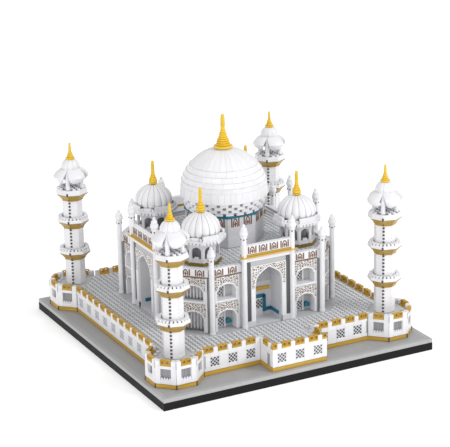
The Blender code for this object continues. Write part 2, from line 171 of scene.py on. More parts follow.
class Solid:
    """Closed shapes in studs, gathered for one piece and set in place by a turn and a shift."""

    def __init__(self):
        self.points = []
        self.faces = []
        self.prints = []
        self.stand()

    def stand(self, x=0.0, y=0.0, spin=0.0):
        self.shift = (x, y)
        self.cos = math.cos(spin)
        self.sin = math.sin(spin)
        return self

    def add(self, points, faces, mark=(0.0, 0.0)):
        """Keep the faces. The mark is where the print on them has its origin."""
        first = len(self.points)
        for x, y, z in points:
            self.points.append((x * self.cos - y * self.sin + self.shift[0],
                                x * self.sin + y * self.cos + self.shift[1], z))
            self.prints.append((x - mark[0], z - mark[1]))
        for face in faces:
            self.faces.append([first + i for i in face])

    def block(self, x0, x1, y0, y1, z0, z1, mark=(0.0, 0.0)):
        self.plan([(x0, y0), (x1, y0), (x1, y1), (x0, y1)], z0, z1, mark)

    def centred(self, middle, half, *rest):
        """A block that reaches the same way to both sides of its middle."""
        self.block(middle - half, middle + half, *rest)

    def sided(self, side, near, far, *rest):
        """A block on the side -1 or 1 of the middle, between two distances from it."""
        low, high = sorted((side * near, side * far))
        self.block(low, high, *rest)

    def plan(self, outline, z0, z1, mark=(0.0, 0.0)):
        """A plan outline raised from z0 to z1."""
        count = len(outline)
        points = [(x, y, z0) for x, y in outline] + [(x, y, z1) for x, y in outline]
        faces = [list(reversed(range(count))), list(range(count, 2 * count))]
        faces += [(i, (i + 1) % count, count + (i + 1) % count, count + i) for i in range(count)]
        self.add(points, faces, mark)

    def slab(self, outline, y0, y1, mark=(0.0, 0.0)):
        """An outline in X and Z given thickness from y0 to y1."""
        count = len(outline)
        points = [(x, y0, z) for x, z in outline] + [(x, y1, z) for x, z in outline]
        faces = [list(range(count)), list(reversed(range(count, 2 * count)))]
        faces += [(i, count + i, count + (i + 1) % count, (i + 1) % count) for i in range(count)]
        self.add(points, faces, mark)

    def ribbon(self, line, width, y0, y1, closed=False):
        """A band of even width that follows a line in X and Z."""
        count = len(line)
        for i in range(count if closed else count - 1):
            ax, az = line[i]
            bx, bz = line[(i + 1) % count]
            length = math.hypot(bx - ax, bz - az)
            if length < 1e-6:
                continue
            ux, uz = (bx - ax) / length, (bz - az) / length
            nx, nz = -uz * width / 2, ux * width / 2
            tip = 0.15 * width
            ax, az, bx, bz = ax - ux * tip, az - uz * tip, bx + ux * tip, bz + uz * tip
            self.slab([(ax + nx, az + nz), (ax - nx, az - nz), (bx - nx, bz - nz),
                       (bx + nx, bz + nz)], y0, y1)

    def turn(self, profile, count=16, x=0.0, y=0.0, start=0.0):
        """A profile of radius and height turned about an upright axis and closed at both ends."""
        points, faces, rings = [], [], []
        for radius, z in profile:
            ring = []
            for i in range(1 if radius == 0 else count):
                angle = start + 2 * math.pi * i / count
                ring.append(len(points))
                points.append((*around(x, y, radius, angle), z))
            rings.append(ring)
        for low, high in zip(rings, rings[1:]):
            for i in range(count):
                j = (i + 1) % count
                corners = [low[i % len(low)], low[j % len(low)],
                           high[j % len(high)], high[i % len(high)]]
                faces.append(list(dict.fromkeys(corners)))
        for ring in (rings[0], rings[-1]):
            if len(ring) > 1:
                faces.append(list(ring))
        self.add(points, faces)

    def stud(self, x, y, z, radius=STUD_RADIUS, height=STUD_HEIGHT):
        self.turn([(radius, z), (radius, z + height)], 10, x, y)

    def hoop(self, profile, count, x=0.0, y=0.0, start=0.0):
        """A closed profile turned into a ring round an open middle."""
        points, faces = [], []
        size = len(profile)
        for i in range(count):
            angle = start + 2 * math.pi * i / count
            points += [(*around(x, y, r, angle), z) for r, z in profile]
        for i in range(count):
            here, there = i * size, (i + 1) % count * size
            for k in range(size):
                n = (k + 1) % size
                faces.append((here + k, there + k, there + n, here + n))
        self.add(points, faces)


# ---------------------------------------------------------------- materials

class Recipe:
    """A material's node tree, put together link by link."""

    def __init__(self, name):
        self.material = bpy.data.materials.new(name)
        self.material.use_nodes = True
        self.tree = self.material.node_tree
        self.shader = self.tree.nodes["Principled BSDF"]

    def node(self, kind, inputs=None, **settings):
        made = self.tree.nodes.new(kind)
        for key, value in settings.items():
            setattr(made, key, value)
        for key, value in (inputs or {}).items():
            if isinstance(value, bpy.types.NodeSocket):
                self.tree.links.new(value, made.inputs[key])
            else:
                made.inputs[key].default_value = value
        return made

    def math(self, operation, a, b=0.0):
        return self.node("ShaderNodeMath", {0: a, 1: b}, operation=operation).outputs[0]

    def mix(self, factor, a, b):
        made = self.node("ShaderNodeMix", {0: factor, 6: a, 7: b}, data_type="RGBA")
        return made.outputs[2]

    def spread(self, value, low, high):
        made = self.node("ShaderNodeMapRange", {"Value": value, "To Min": low, "To Max": high})
        return made.outputs[0]


def plastic(name, colour, roughness, tone=0.05, grain=0.25, coat=0.0, pattern=None):
    """Moulded ABS: each brick a slightly different tone, faint flow marks and a fine skin."""
    recipe = Recipe(name)
    where = recipe.node("ShaderNodeTexCoord").outputs["Object"]
    flow = recipe.node("ShaderNodeTexNoise", {"Vector": where, "Scale": 260.0, "Detail": 4.0})
    skin = recipe.node("ShaderNodeTexNoise", {"Vector": where, "Scale": 2600.0, "Detail": 2.0})
    brick = recipe.node("ShaderNodeNewGeometry").outputs["Random Per Island"]
    base = (*colour, 1.0)
    if pattern:
        base = pattern(recipe, base)
    by_brick = recipe.spread(brick, 1.0 - tone, 1.0 + tone)
    by_flow = recipe.spread(flow.outputs["Fac"], 0.96, 1.04)
    level = recipe.math("MULTIPLY", by_brick, by_flow)
    shade = recipe.node("ShaderNodeHueSaturation", {"Value": level, "Color": base})
    shader = recipe.shader
    recipe.tree.links.new(shade.outputs[0], shader.inputs["Base Color"])
    worn = recipe.spread(flow.outputs["Fac"], roughness - 0.07, roughness + 0.09)
    recipe.tree.links.new(worn, shader.inputs["Roughness"])
    bump = recipe.node("ShaderNodeBump", {"Height": skin.outputs["Fac"], "Strength": grain,
                                          "Distance": 0.00003})
    recipe.tree.links.new(bump.outputs[0], shader.inputs["Normal"])
    shader.inputs["Coat Weight"].default_value = coat
    shader.inputs["Coat Roughness"].default_value = 0.15
    return recipe.material


def filigree(line_colour, size):
    """A printed web: pale lines and dots on the material's own colour."""
    def pattern(recipe, base):
        uv = recipe.node("ShaderNodeUVMap", uv_map="print").outputs[0]
        bend = recipe.node("ShaderNodeTexNoise", {"Vector": uv, "Scale": 1.3, "Detail": 1.0})
        shift = recipe.node("ShaderNodeVectorMath", {0: bend.outputs["Color"],
                                                     1: (0.5, 0.5, 0.5)}, operation="MULTIPLY")
        bent = recipe.node("ShaderNodeVectorMath", {0: uv, 1: shift.outputs[0]}, operation="ADD")
        cell = recipe.node("ShaderNodeTexVoronoi", {"Vector": bent.outputs[0], "Scale": size,
                                                    "Randomness": 0.8},
                           feature="DISTANCE_TO_EDGE", voronoi_dimensions="2D")
        line = recipe.math("LESS_THAN", cell.outputs["Distance"], 0.13)
        dots = recipe.node("ShaderNodeTexVoronoi", {"Vector": bent.outputs[0], "Scale": size,
                                                    "Randomness": 0.8}, voronoi_dimensions="2D")
        dot = recipe.math("LESS_THAN", dots.outputs["Distance"], 0.17)
        pale = recipe.math("MAXIMUM", line, dot)
        return recipe.mix(pale, base, (*line_colour, 1.0))
    return pattern


def lattice(light):
    """A printed window lattice: crossing pale bars with dark diamonds between them."""
    def pattern(recipe, base):
        uv = recipe.node("ShaderNodeUVMap", uv_map="print").outputs[0]
        parts = recipe.node("ShaderNodeSeparateXYZ", {0: uv})
        total = recipe.math("ADD", parts.outputs[0], parts.outputs[1])
        change = recipe.math("SUBTRACT", parts.outputs[0], parts.outputs[1])
        bars = []
        for run in (total, change):
            shifted = recipe.math("ADD", run, 111 * LATTICE_CELL)
            wave = recipe.math("PINGPONG", shifted, LATTICE_CELL)
            bars.append(recipe.math("LESS_THAN", wave, 0.08))
        across = recipe.math("ABSOLUTE", parts.outputs[0])
        up = recipe.math("ABSOLUTE", parts.outputs[1])
        rim = recipe.math("GREATER_THAN", recipe.math("MAXIMUM", across, up), 0.9)
        pale = recipe.math("MAXIMUM", recipe.math("MAXIMUM", bars[0], bars[1]), rim)
        return recipe.mix(pale, base, (*light, 1.0))
    return pattern


WHITE = (plastic("white_abs", (0.86, 0.86, 0.885), 0.3, 0.025), "white")
WHITE_DOME = (plastic("dome_abs", (0.88, 0.88, 0.9), 0.33, 0.03), "white")
PALE = (plastic("hall_abs", (0.68, 0.68, 0.705), 0.36, 0.03), "hall_grey")
DECK = (plastic("deck_abs", (0.55, 0.56, 0.58), 0.38, 0.03), "light_grey")
# Painted highlight: the studs are a lighter grey than the deck they stand on, for their lit tops.
LIT_STUD = (plastic("stud_painted_highlight_abs", (0.75, 0.76, 0.78), 0.36, 0.05), "light_grey")
DEEP = (plastic("portal_room_abs", (0.54, 0.55, 0.56), 0.38, 0.04), "light_grey")
# Painted shade: the deck plates round the studs are darker than the deck, for the shadows between
# the studs.
PLATE_SHADE = (plastic("deck_plate_painted_shade_abs", (0.38, 0.385, 0.4), 0.42, 0.04), "light_grey")
# Painted shade: the mid grey of openings and gaps that lie in shade.
SHADE_GREY = (plastic("painted_shade_abs", (0.35, 0.35, 0.37), 0.4, 0.04), "light_grey")
HINGE = (plastic("hinge_abs", (0.5, 0.5, 0.52), 0.4, 0.04), "light_grey")
STRIP = (plastic("strip_abs", (0.1, 0.103, 0.11), 0.4, 0.05), "dark_grey")
# Painted shade: the cores under white bricks are grey, not white, so the joints between the bricks
# read as shadow lines.
SEAM_SHADE_GREY = (plastic("dome_core_painted_shade_abs", (0.5, 0.5, 0.52), 0.5, 0.04), "white")
TILE = (plastic("tile_abs", (0.37, 0.375, 0.38), 0.4, 0.015, 0.05), "grey_tile")
EDGE_TILE = (plastic("edge_tile_abs", (0.43, 0.435, 0.44), 0.4, 0.015, 0.05), "grey_tile")
BLACK = (plastic("base_abs", (0.008, 0.008, 0.009), 0.55, 0.05), "black_plastic")
BLACK[0].node_tree.nodes["Principled BSDF"].inputs["Specular IOR Level"].default_value = 0.2
PEARL = (plastic("pearl_gold_abs", (0.6, 0.36, 0.035), 0.36, 0.14, 0.3, 0.15), "pearl_gold")
CORBEL_GOLD = (plastic("corbel_gold_abs", (0.42, 0.26, 0.03), 0.36, 0.14, 0.3, 0.15), "pearl_gold")
OLIVE = (plastic("old_gold_abs", (0.24, 0.17, 0.03), 0.4, 0.14), "pearl_gold")
SHINE = (plastic("yellow_gold_abs", (0.84, 0.55, 0.025), 0.26, 0.06, 0.2, 0.3), "yellow_gold")
TEAL = (plastic("teal_abs", (0.005, 0.16, 0.25), 0.33, 0.08), "teal")
DARK = (plastic("dark_abs", (0.07, 0.07, 0.08), 0.45, 0.1), "dark_grey")
SLATE = (plastic("slate_abs", (0.2, 0.2, 0.215), 0.4, 0.06), "dark_grey")
BROWN = (plastic("brown_print_ink", (0.2, 0.1, 0.055), 0.5, 0.1), "brown_print")
LATTICE = (plastic("lattice_print", (0.03, 0.03, 0.035), 0.4, 0.02,
                   pattern=lattice((0.82, 0.82, 0.84))), "dark_grey")
GREY_LATTICE = (plastic("grey_lattice_print", (0.08, 0.08, 0.09), 0.4, 0.02,
                        pattern=lattice((0.82, 0.82, 0.84))), "dark_grey")
PALE_LATTICE = (plastic("pale_lattice_print", (0.36, 0.37, 0.41), 0.4, 0.02,
                        pattern=lattice((0.74, 0.75, 0.78))), "dark_grey")
LACE = (plastic("lace_print", (0.17, 0.12, 0.095), 0.42, 0.03,
                pattern=filigree((0.86, 0.85, 0.84), 1.75)), "brown_print")
GREY_LACE = (plastic("grey_lace_print", (0.36, 0.36, 0.38), 0.42, 0.03,
                     pattern=filigree((0.66, 0.66, 0.68), 3.0)), "hall_grey")


# ---------------------------------------------------------------- pieces

def piece(name, solid, finish, body=MODEL, replaces=(), bevel=0.0, smooth=False):
    """Make the object for a solid, with its material, body and the CAD nodes it stands for."""
    mesh = bpy.data.meshes.new(name)
    bm = bmesh.new()
    layer = bm.loops.layers.uv.new("print")
    verts = [bm.verts.new((x * PITCH + MIDDLE_X, y * PITCH + MIDDLE_Y, z * PITCH + FLOOR_Z))
             for x, y, z in solid.points]
    for indices in solid.faces:
        face = bm.faces.new([verts[i] for i in indices])
        for loop, i in zip(face.loops, indices):
            loop[layer].uv = solid.prints[i]
    bmesh.ops.recalc_face_normals(bm, faces=bm.faces)
    bm.to_mesh(mesh)
    bm.free()
    made = bpy.data.objects.new(name, mesh)
    bpy.context.scene.collection.objects.link(made)
    material, slot = finish
    mesh.materials.append(material)
    if smooth:
        mesh.shade_smooth()
        mesh.set_sharp_from_angle(angle=math.radians(40))
    if bevel:
        edge = made.modifiers.new("edges", "BEVEL")
        edge.width = bevel * PITCH
        edge.segments = 1
        edge.limit_method = "ANGLE"
        edge.angle_limit = math.radians(50)
    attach(made, body)
    if replaces:
        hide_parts(*replaces)
    return made


def spot(quarter, x, y):
    """A plan point carried round by quarter turns."""
    for _ in range(quarter):
        x, y = -y, x
    return x, y


# ---------------------------------------------------------------- base and terrace

def finish_base():
    for node, finish in (("base_plate", BLACK), ("plinth_course", PEARL), ("terrace_deck", DECK),
                         ("hall_roof", DECK), ("hall_core", PALE)):
        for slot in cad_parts[node].material_slots:
            slot.material = finish[0]


def make_tiles():
    """The base tiling: 4 by 4 tiles inside a border one stud wide."""
    half_x = (TILES_HIGH[0] - TILES_LOW[0]) / 2 / PITCH
    half_y = (TILES_HIGH[1] - TILES_LOW[1]) / 2 / PITCH
    low = (TILES_LOW[2] - FLOOR_Z) / PITCH
    centre_y = (TILES_HIGH[1] + TILES_LOW[1]) / 2 / PITCH - MIDDLE_Y / PITCH
    field = Solid().stand(0.0, centre_y)
    border = Solid().stand(0.0, centre_y)
    inner_x, inner_y = half_x - 1.0, half_y - 1.0
    columns, rows = 15, 15
    step_x, step_y = 2 * inner_x / columns, 2 * inner_y / rows
    slit = SLIT / 4
    for i in range(columns):
        for j in range(rows):
            x, y = -inner_x + i * step_x, -inner_y + j * step_y
            field.block(x + slit, x + step_x - slit, y + slit, y + step_y - slit, low, 0.0)
    for i in range(columns):
        x = -inner_x + i * step_x
        for y0, y1 in ((-half_y, -inner_y), (inner_y, half_y)):
            border.block(x + slit, x + step_x - slit, y0 + slit, y1 - slit, low, 0.0)
    for j in range(rows):
        y = -inner_y + j * step_y
        for x0, x1 in ((-half_x, -inner_x), (inner_x, half_x)):
            border.block(x0 + slit, x1 - slit, y + slit, y + step_y - slit, low, 0.0)
    for x0, x1 in ((-half_x, -inner_x), (inner_x, half_x)):
        for y0, y1 in ((-half_y, -inner_y), (inner_y, half_y)):
            border.block(x0 + slit, x1 - slit, y0 + slit, y1 - slit, low, 0.0)
    piece("base_tile_field", field, TILE, replaces=("base_tiles",))
    piece("base_tile_border", border, EDGE_TILE, replaces=("base_tiles",))


def on_deck(x, y):
    """True where the terrace has a stud: inside its walls and clear of the hall and shafts."""
    ax, ay = abs(x), abs(y)
    if max(ax, ay) < HALL_CLEAR and ax + ay < HALL_CLEAR_CUT:
        return False
    if math.hypot(ax - CORNER, ay - CORNER) < SHAFT_CLEAR:
        return False
    edge = WALL_PLANE - WALL_THICK - 0.5
    if ax < edge and ay < edge:
        return True
    if ax < PORCH_HALF - 1.5 and -y < WALL_PLANE + PORCH_DEPTH - 1.5 and y < 0:
        return True
    dx, dy = abs(ax - CORNER), abs(ay - CORNER)
    reach = APOTHEM - 1.5
    return dx < reach and dy < reach and (dx + dy) / math.sqrt(2) < reach


def make_deck_studs():
    studs = Solid()
    plates = Solid()
    span = 31
    for i in range(-span, span):
        for j in range(-span, span):
            x, y = i + 0.5, j + 0.5
            if on_deck(x, y):
                studs.stud(x, y, DECK_TOP)
                plates.block(i + 0.02, i + 0.98, j + 0.02, j + 0.98, DECK_TOP - 0.02,
                             DECK_TOP + 0.012)
    piece("deck_studs", studs, LIT_STUD, smooth=True)
    piece("deck_plates", plates, PLATE_SHADE)


class Kit:
    """Solids that are built side by side, one for each kind of brick."""

    def __init__(self, kinds):
        for kind in kinds:
            setattr(self, kind, Solid())

    def stand(self, x=0.0, y=0.0, spin=0.0):
        for solid in vars(self).values():
            solid.stand(x, y, spin)
        return self


def wall_kit():
    return Kit(("brick", "gold", "lattice", "slot"))


def make_wall_pieces(work, node, glazing=PALE_LATTICE):
    piece(node + "_bricks", work.brick, WHITE, replaces=(node,), bevel=0.04)
    piece(node + "_merlons", work.gold, PEARL, replaces=(node,))
    if work.lattice.points:
        piece(node + "_lattices", work.lattice, glazing, replaces=(node,))
    if work.slot.points:
        piece(node + "_slots", work.slot, SHADE_GREY, replaces=(node,))


def merlon(gold, x0, x1, face):
    """A gold bracket: a plate carrying an open frame, with a ring of a stud on each cell."""
    x0, x1 = x0 + SLIT, x1 - SLIT
    gold.block(x0, x1, face, face + 0.98, COPING + 0.01, COPING + 0.36)
    width = x1 - x0
    count = max(1, round(width))
    step = width / count
    mid = COPING + 0.79
    for i in range(count):
        x = x0 + step * (i + 0.5)
        half_x, half_z = step / 2 - 0.07, 0.36
        cell = [(x - half_x, mid - half_z), (x + half_x, mid - half_z),
                (x + half_x, mid + half_z), (x - half_x, mid + half_z)]
        gold.ribbon(cell, 0.13, face + 0.01, face + 0.6, closed=True)
        gold.ribbon(circle(x, mid, 0.35, 10), 0.11, face - 0.12, face + 0.13, closed=True)
        gold.centred(x, half_x, face + 0.3, face + 0.5, mid - 0.07, mid + 0.07)


def crenellate(work, start, end, face, pattern):
    total = sum(width for _, width in pattern)
    unit = (end - start) / total
    x = start
    for kind, width in pattern:
        next_x = x + width * unit
        if kind == "m":
            merlon(work.gold, x, next_x, face)
        else:
            work.brick.block(x + SLIT, next_x - SLIT, face, face + 0.35, COPING, POST_TOP)
        x = next_x


def wall_face(work, start, end, face, windows, inset=0.0):
    """White courses with lattice windows sunk between them."""
    work.brick.block(start + inset, end - inset, face + 0.2, face + WALL_THICK, WALL_FOOT,
                     COPING - 0.01 - inset / 20)
    edges = [start]
    for x0, x1 in windows:
        edges += [x0, x1]
    edges.append(end)
    courses = (WALL_FOOT, LATTICE_LOW, LATTICE_HIGH, COPING)
    for i in range(0, len(edges), 2):
        x0, x1 = edges[i], edges[i + 1]
        for low, high in zip(courses, courses[1:]):
            work.brick.block(x0 + 0.008, x1 - 0.008, face, face + 0.22, low + 0.008, high - 0.008)
    middle = (LATTICE_LOW + LATTICE_HIGH) / 2
    for x0, x1 in windows:
        work.brick.block(x0 + 0.008, x1 - 0.008, face, face + 0.22, WALL_FOOT, LATTICE_LOW)
        work.brick.block(x0 + 0.008, x1 - 0.008, face, face + 0.22, LATTICE_HIGH, COPING - 0.008)
        work.lattice.block(x0 + 0.03, x1 - 0.03, face + 0.06, face + 0.22, LATTICE_LOW,
                           LATTICE_HIGH, ((x0 + x1) / 2, middle))


def make_walls():
    reach = WALL_END - 0.075
    face = -WALL_PLANE
    unit = 2 * reach / 36
    for name, quarter in (("wall_right", 1), ("wall_back", 2), ("wall_left", 3)):
        work = wall_kit().stand(spin=quarter * QUARTER)
        windows = [(-reach + unit * (1 + 4 * k), -reach + unit * (3 + 4 * k)) for k in range(9)]
        wall_face(work, -reach, reach, face, windows)
        crenellate(work, -reach, reach, face, [("m", 2), ("p", 1)] * 12)
        for side in (-1, 1):
            paint_hinge_gap_shade(work, side * (reach - 0.2), face)
        make_wall_pieces(work, name)
    near = PORCH_HALF + 0.075
    unit = (reach - near) / 12
    run = [("m", 2), ("p", 1)] * 4
    for name, mirror in (("wall_front_left", -1), ("wall_front_right", 1)):
        work = wall_kit()
        windows = sorted(sorted((mirror * (near + unit * (1.1 + 3.85 * k)),
                                 mirror * (near + unit * (2.95 + 3.85 * k)))) for k in range(3))
        low, high = sorted((mirror * near, mirror * reach))
        wall_face(work, low, high, face, windows)
        crenellate(work, low, high, face, run if mirror < 0 else list(reversed(run)))
        paint_hinge_gap_shade(work, mirror * (reach - 0.2), face)
        make_wall_pieces(work, name, LATTICE)
    make_porch()


def paint_hinge_gap_shade(work, x, face):
    """A dark grey strip, painted shade of the gap beside the hinge where a straight wall meets a
    bastion.
    """
    work.slot.centred(x, 0.1, face - 0.015, face + 0.05, LATTICE_LOW - 0.1, 4.1)


def make_porch():
    work = wall_kit()
    face = -WALL_PLANE - PORCH_DEPTH
    windows = [(-4.95, -3.05), (-0.95, 0.95), (3.05, 4.95)]
    wall_face(work, -PORCH_HALF, PORCH_HALF, face, windows, 0.24)
    front = [("m", 1), ("p", 1)] + [("m", 2), ("p", 1)] * 3 + [("m", 1)]
    crenellate(work, -PORCH_HALF, PORCH_HALF, face, front)
    run = [("p", 1), ("m", 1.9), ("p", 2)]
    for side in (-1, 1):
        # each flank is built facing -Y, measured from the wall plane out to the porch corner
        work.stand(0.0, -WALL_PLANE, side * QUARTER)
        low, high = sorted((side * WALL_THICK, -side * (PORCH_DEPTH - 0.24)))
        wall_face(work, low, high, -PORCH_HALF, [])
        low, high = sorted((side * WALL_THICK, -side * (PORCH_DEPTH - 1.0)))
        crenellate(work, low, high, -PORCH_HALF, run if side > 0 else list(reversed(run)))
        # A dark grey panel on each flank, painted shade of a narrow door opening.
        work.slot.sided(-side, 2.7, 3.7, -PORCH_HALF - 0.02, -PORCH_HALF + 0.05, WALL_FOOT, 3.4)
    make_wall_pieces(work, "porch_wall", GREY_LATTICE)


def make_bastion(side, quarter):
    work = wall_kit()
    window_shades = Solid()
    hinges = Solid()
    pins = Solid()
    x, y = spot(quarter, -CORNER, -CORNER)
    face = -APOTHEM
    back = face + WALL_THICK
    half = SIDE / 2 - 0.03
    slope = math.tan(math.pi / 8)
    opening = 1.05
    low, high = 1.65, 3.95
    for k in range(-2, 3):
        spin = k * EIGHTH + quarter * QUARTER - EIGHTH
        work.stand(x, y, spin)
        for solid in (window_shades, hinges, pins):
            solid.stand(x, y, spin)
        for s in (-1, 1):
            jamb = [(s * half, face), (s * opening, face), (s * opening, back),
                    (s * (half - slope * WALL_THICK), back)]
            work.brick.plan(jamb, WALL_FOOT, COPING - 0.01)
            work.brick.plan([(s * (half - 0.02), face), (s * (opening + 0.03), face),
                             (s * (opening + 0.03), back - 0.05),
                             (s * (half - slope * 0.95 - 0.02), back - 0.05)], COPING, POST_TOP)
        work.brick.centred(0.0, opening, face + 0.02, back, WALL_FOOT, low)
        work.brick.centred(0.0, opening, face - 0.02, back, high, COPING - 0.01)
        merlon(work.gold, -opening, opening, face)
        # Mid-grey panels fill the window openings: painted shade of the wall inside them.
        window_shades.centred(0.0, opening, face + 0.62, back, low, high)
        for tooth in (-0.8, -0.27, 0.27, 0.8):
            work.brick.slab([(tooth - 0.24, low), (tooth + 0.24, low), (tooth + 0.18, low + 0.3),
                             (tooth, low + 0.58), (tooth - 0.18, low + 0.3)],
                            face + 0.1, face + 0.4)
        for bar in (-0.6, 0.0, 0.6):
            work.slot.centred(bar, 0.1, face + 0.5, face + 0.6, low, high)
        hinge_x = SIDE / 2
        hinges.turn([(0.12, COPING - 0.5), (0.12, POST_TOP - 0.25)], 8, hinge_x, face + 0.05)
        pins.turn([(0.17, 0.05), (0.17, 0.9)], 8, hinge_x, face + 0.06)
    node = "bastion_" + side
    make_wall_pieces(work, node)
    for kind, solid, finish in (("window_shades", window_shades, SHADE_GREY), ("hinges", hinges, HINGE),
                                ("pins", pins, DARK)):
        piece(f"{node}_{kind}", solid, finish, replaces=(node,))


# ---------------------------------------------------------------- minarets

def on_flats(profile):
    return [(r / math.cos(math.pi / 8), z) for r, z in profile]


def make_shaft(side, x, y):
    shaft = Solid()
    pins = Solid()
    faint = Solid()
    low, high = HALL_FOOT, CORBELS[2] - 0.05
    courses = round((high - low) / COURSE)
    step = (high - low) / courses
    profile = []
    for i in range(courses):
        z = low + i * step
        profile += [(SHAFT - 0.02, z), (SHAFT, z + 0.02), (SHAFT, z + step - 0.02)]
    profile.append((SHAFT - 0.02, high))
    shaft.turn(on_flats(profile), 8, x, y, TURN)
    radius = SHAFT / math.cos(math.pi / 8)
    for i in range(courses):
        z = low + (i + 0.5) * step
        for k in range(8):
            px, py = around(x, y, radius, TURN + k * EIGHTH)
            target = faint if k % 4 else pins
            size = 0.09 if k % 4 else 0.24
            target.turn([(0.0, z - size), (size, z - size * 0.6), (size, z + size * 0.6),
                         (0.0, z + size)], 8, px, py)
    for kind, solid, finish in (("bricks", shaft, WHITE), ("pins", pins, DARK),
                                ("knuckles", faint, PALE)):
        piece(f"shaft_{kind}_{side}", solid, finish, replaces=("shaft_" + side,))


def make_balconies(side, x, y):
    corbels = Solid()
    gallery = Solid()
    floors = Solid()
    pins = Solid()
    studs = Solid()
    node_names = []
    inner = SHAFT + 0.04
    rim = BALCONY
    for level, low in zip(("lower", "middle", "upper"), CORBELS):
        node_names.append(f"balcony_{level}_{side}")
        corbels.hoop(on_flats([(inner, low), (2.12, low), (2.2, low + 0.3), (2.62, low + 0.85),
                               (rim - 0.02, low + 1.4), (rim - 0.02, low + 1.5),
                               (inner, low + 1.5)]), 8, x, y, TURN)
        top = low + 2.5
        if level == "upper":
            gallery.turn(on_flats([(rim, low + 1.52), (rim - 0.2, top)]), 8, x, y, TURN)
            gallery_deck(floors, studs, x, y, top, rim - 0.6)
        else:
            rail = [(rim - 0.3, low + 1.52), (rim, low + 1.52), (rim - 0.12, top - 0.42),
                    (rim - 0.18, top - 0.34), (rim - 0.3, top - 0.34)]
            gallery.hoop(on_flats(rail), 8, x, y, TURN)
            floors.hoop(on_flats([(inner, low + 1.52), (rim - 0.32, low + 1.52),
                                  (rim - 0.32, top - 0.36), (inner, top - 0.36)]), 8, x, y, TURN)
            count = 24
            for i in range(count):
                gallery.stand(x, y, TURN + (i + 0.5) * 2 * math.pi / count)
                reach = (rim - 0.2) / math.cos((i % 3 - 1) * math.pi / 12)
                gallery.block(2.3, reach, -0.24, 0.24, top - 0.35, top + 0.02)
            gallery.stand()
        corner = rim / math.cos(math.pi / 8)
        for angle in (TURN, TURN + math.pi):
            # The second, smaller dark mark low on the corbel is painted shade of the gap between
            # two flare bricks.
            for reach, foot, tall, size in ((corner, low + 1.4, 0.62, 0.2),
                                            (2.45, low + 0.12, 0.35, 0.12)):
                px, py = around(x, y, reach, angle)
                pins.turn([(0.0, foot), (size, foot + 0.06), (size, foot + tall - 0.06),
                           (0.0, foot + tall)], 8, px, py)
    piece("corbels_" + side, corbels, CORBEL_GOLD, replaces=node_names)
    piece("galleries_" + side, gallery, WHITE, replaces=node_names, bevel=0.03)
    piece("gallery_floors_" + side, floors, SLATE, replaces=node_names)
    piece("gallery_pins_" + side, pins, DARK, replaces=node_names)
    piece("gallery_studs_" + side, studs, WHITE, replaces=node_names, smooth=True)


def gallery_deck(floors, studs, x, y, top, reach):
    """The kiosk's floor: a dark gap grid showing between rows of plates and their studs."""
    floors.plan(octagon_at(x, y, reach, TURN), top, top + 0.04)
    for i in range(-4, 4):
        for j in range(-4, 4):
            dx, dy = i + 0.5, j + 0.5
            if math.hypot(dx, dy) < reach + 0.1:
                studs.stud(x + dx, y + dy, top, 0.36, 0.26)


def petal(solid, x, y, angle):
    """One of the four bulging roof leaves, narrower at its foot than at its head."""
    section = ((2.45, 26.85, 0.42), (3.1, 27.25, 0.55), (3.65, 27.8, 0.7), (3.78, 28.35, 0.78),
               (3.4, 28.9, 0.86), (2.8, 29.35, 0.94), (2.0, 29.8, 1.0))
    across = 8
    thick = 0.35
    points, faces = [], []
    for inset in (0.0, thick):
        for radius, z, share in section:
            for i in range(across + 1):
                t = 2 * i / across - 1
                turn = t * share * (EIGHTH - 0.03)
                reach = (radius - inset) * (1 - 0.1 * abs(t) ** 3)
                points.append((reach * math.cos(turn), reach * math.sin(turn), z - inset * 0.3))
    rows, size = len(section), across + 1
    count = rows * size
    for row in range(rows - 1):
        for i in range(across):
            a = row * size + i
            faces.append((a, a + 1, a + size + 1, a + size))
            faces.append((count + a, count + a + size, count + a + size + 1, count + a + 1))
    border = list(range(size)) + [r * size + across for r in range(1, rows)]
    border += [(rows - 1) * size + i for i in range(across - 1, -1, -1)]
    border += [r * size for r in range(rows - 2, 0, -1)]
    for a, b in zip(border, border[1:] + border[:1]):
        faces.append((a, b, count + b, count + a))
    solid.stand(x, y, angle)
    solid.add(points, faces)
    solid.stand()


def make_kiosk(side, x, y):
    posts = Solid()
    roof = Solid()
    cap = Solid()
    turn = TURN - math.radians(3)
    for i in range(4):
        angle = turn + i * QUARTER
        px, py = around(x, y, KIOSK_POST_SPREAD, angle)
        posts.turn([(0.52, KIOSK_FLOOR + 0.05), (0.52, KIOSK_FLOOR + 0.45),
                    (0.44, KIOSK_FLOOR + 0.5), (0.44, 27.3), (0.52, 27.4), (0.52, 28.3),
                    (0.42, 28.6), (0.1, 29.3)], 12, px, py)
        petal(roof, x, y, angle + EIGHTH)
    roof.turn([(1.7, 27.6), (2.3, 28.6), (1.9, 29.8)], 16, x, y)
    section = ((0.3, 29.55), (1.7, 29.6), (1.98, 30.0), (1.95, 30.45), (1.7, 31.0), (1.35, 31.4),
               (1.0, 31.68), (0.3, 31.68))
    count = 10
    for i in range(count):
        wedge(cap, x, y, turn + (i + 0.5) * 2 * math.pi / count, math.pi / count, section, 0.02)
    for kind, solid in (("posts", posts), ("leaves", roof), ("cupola", cap)):
        piece(f"kiosk_{kind}_{side}", solid, WHITE, replaces=("kiosk_" + side,), smooth=True)


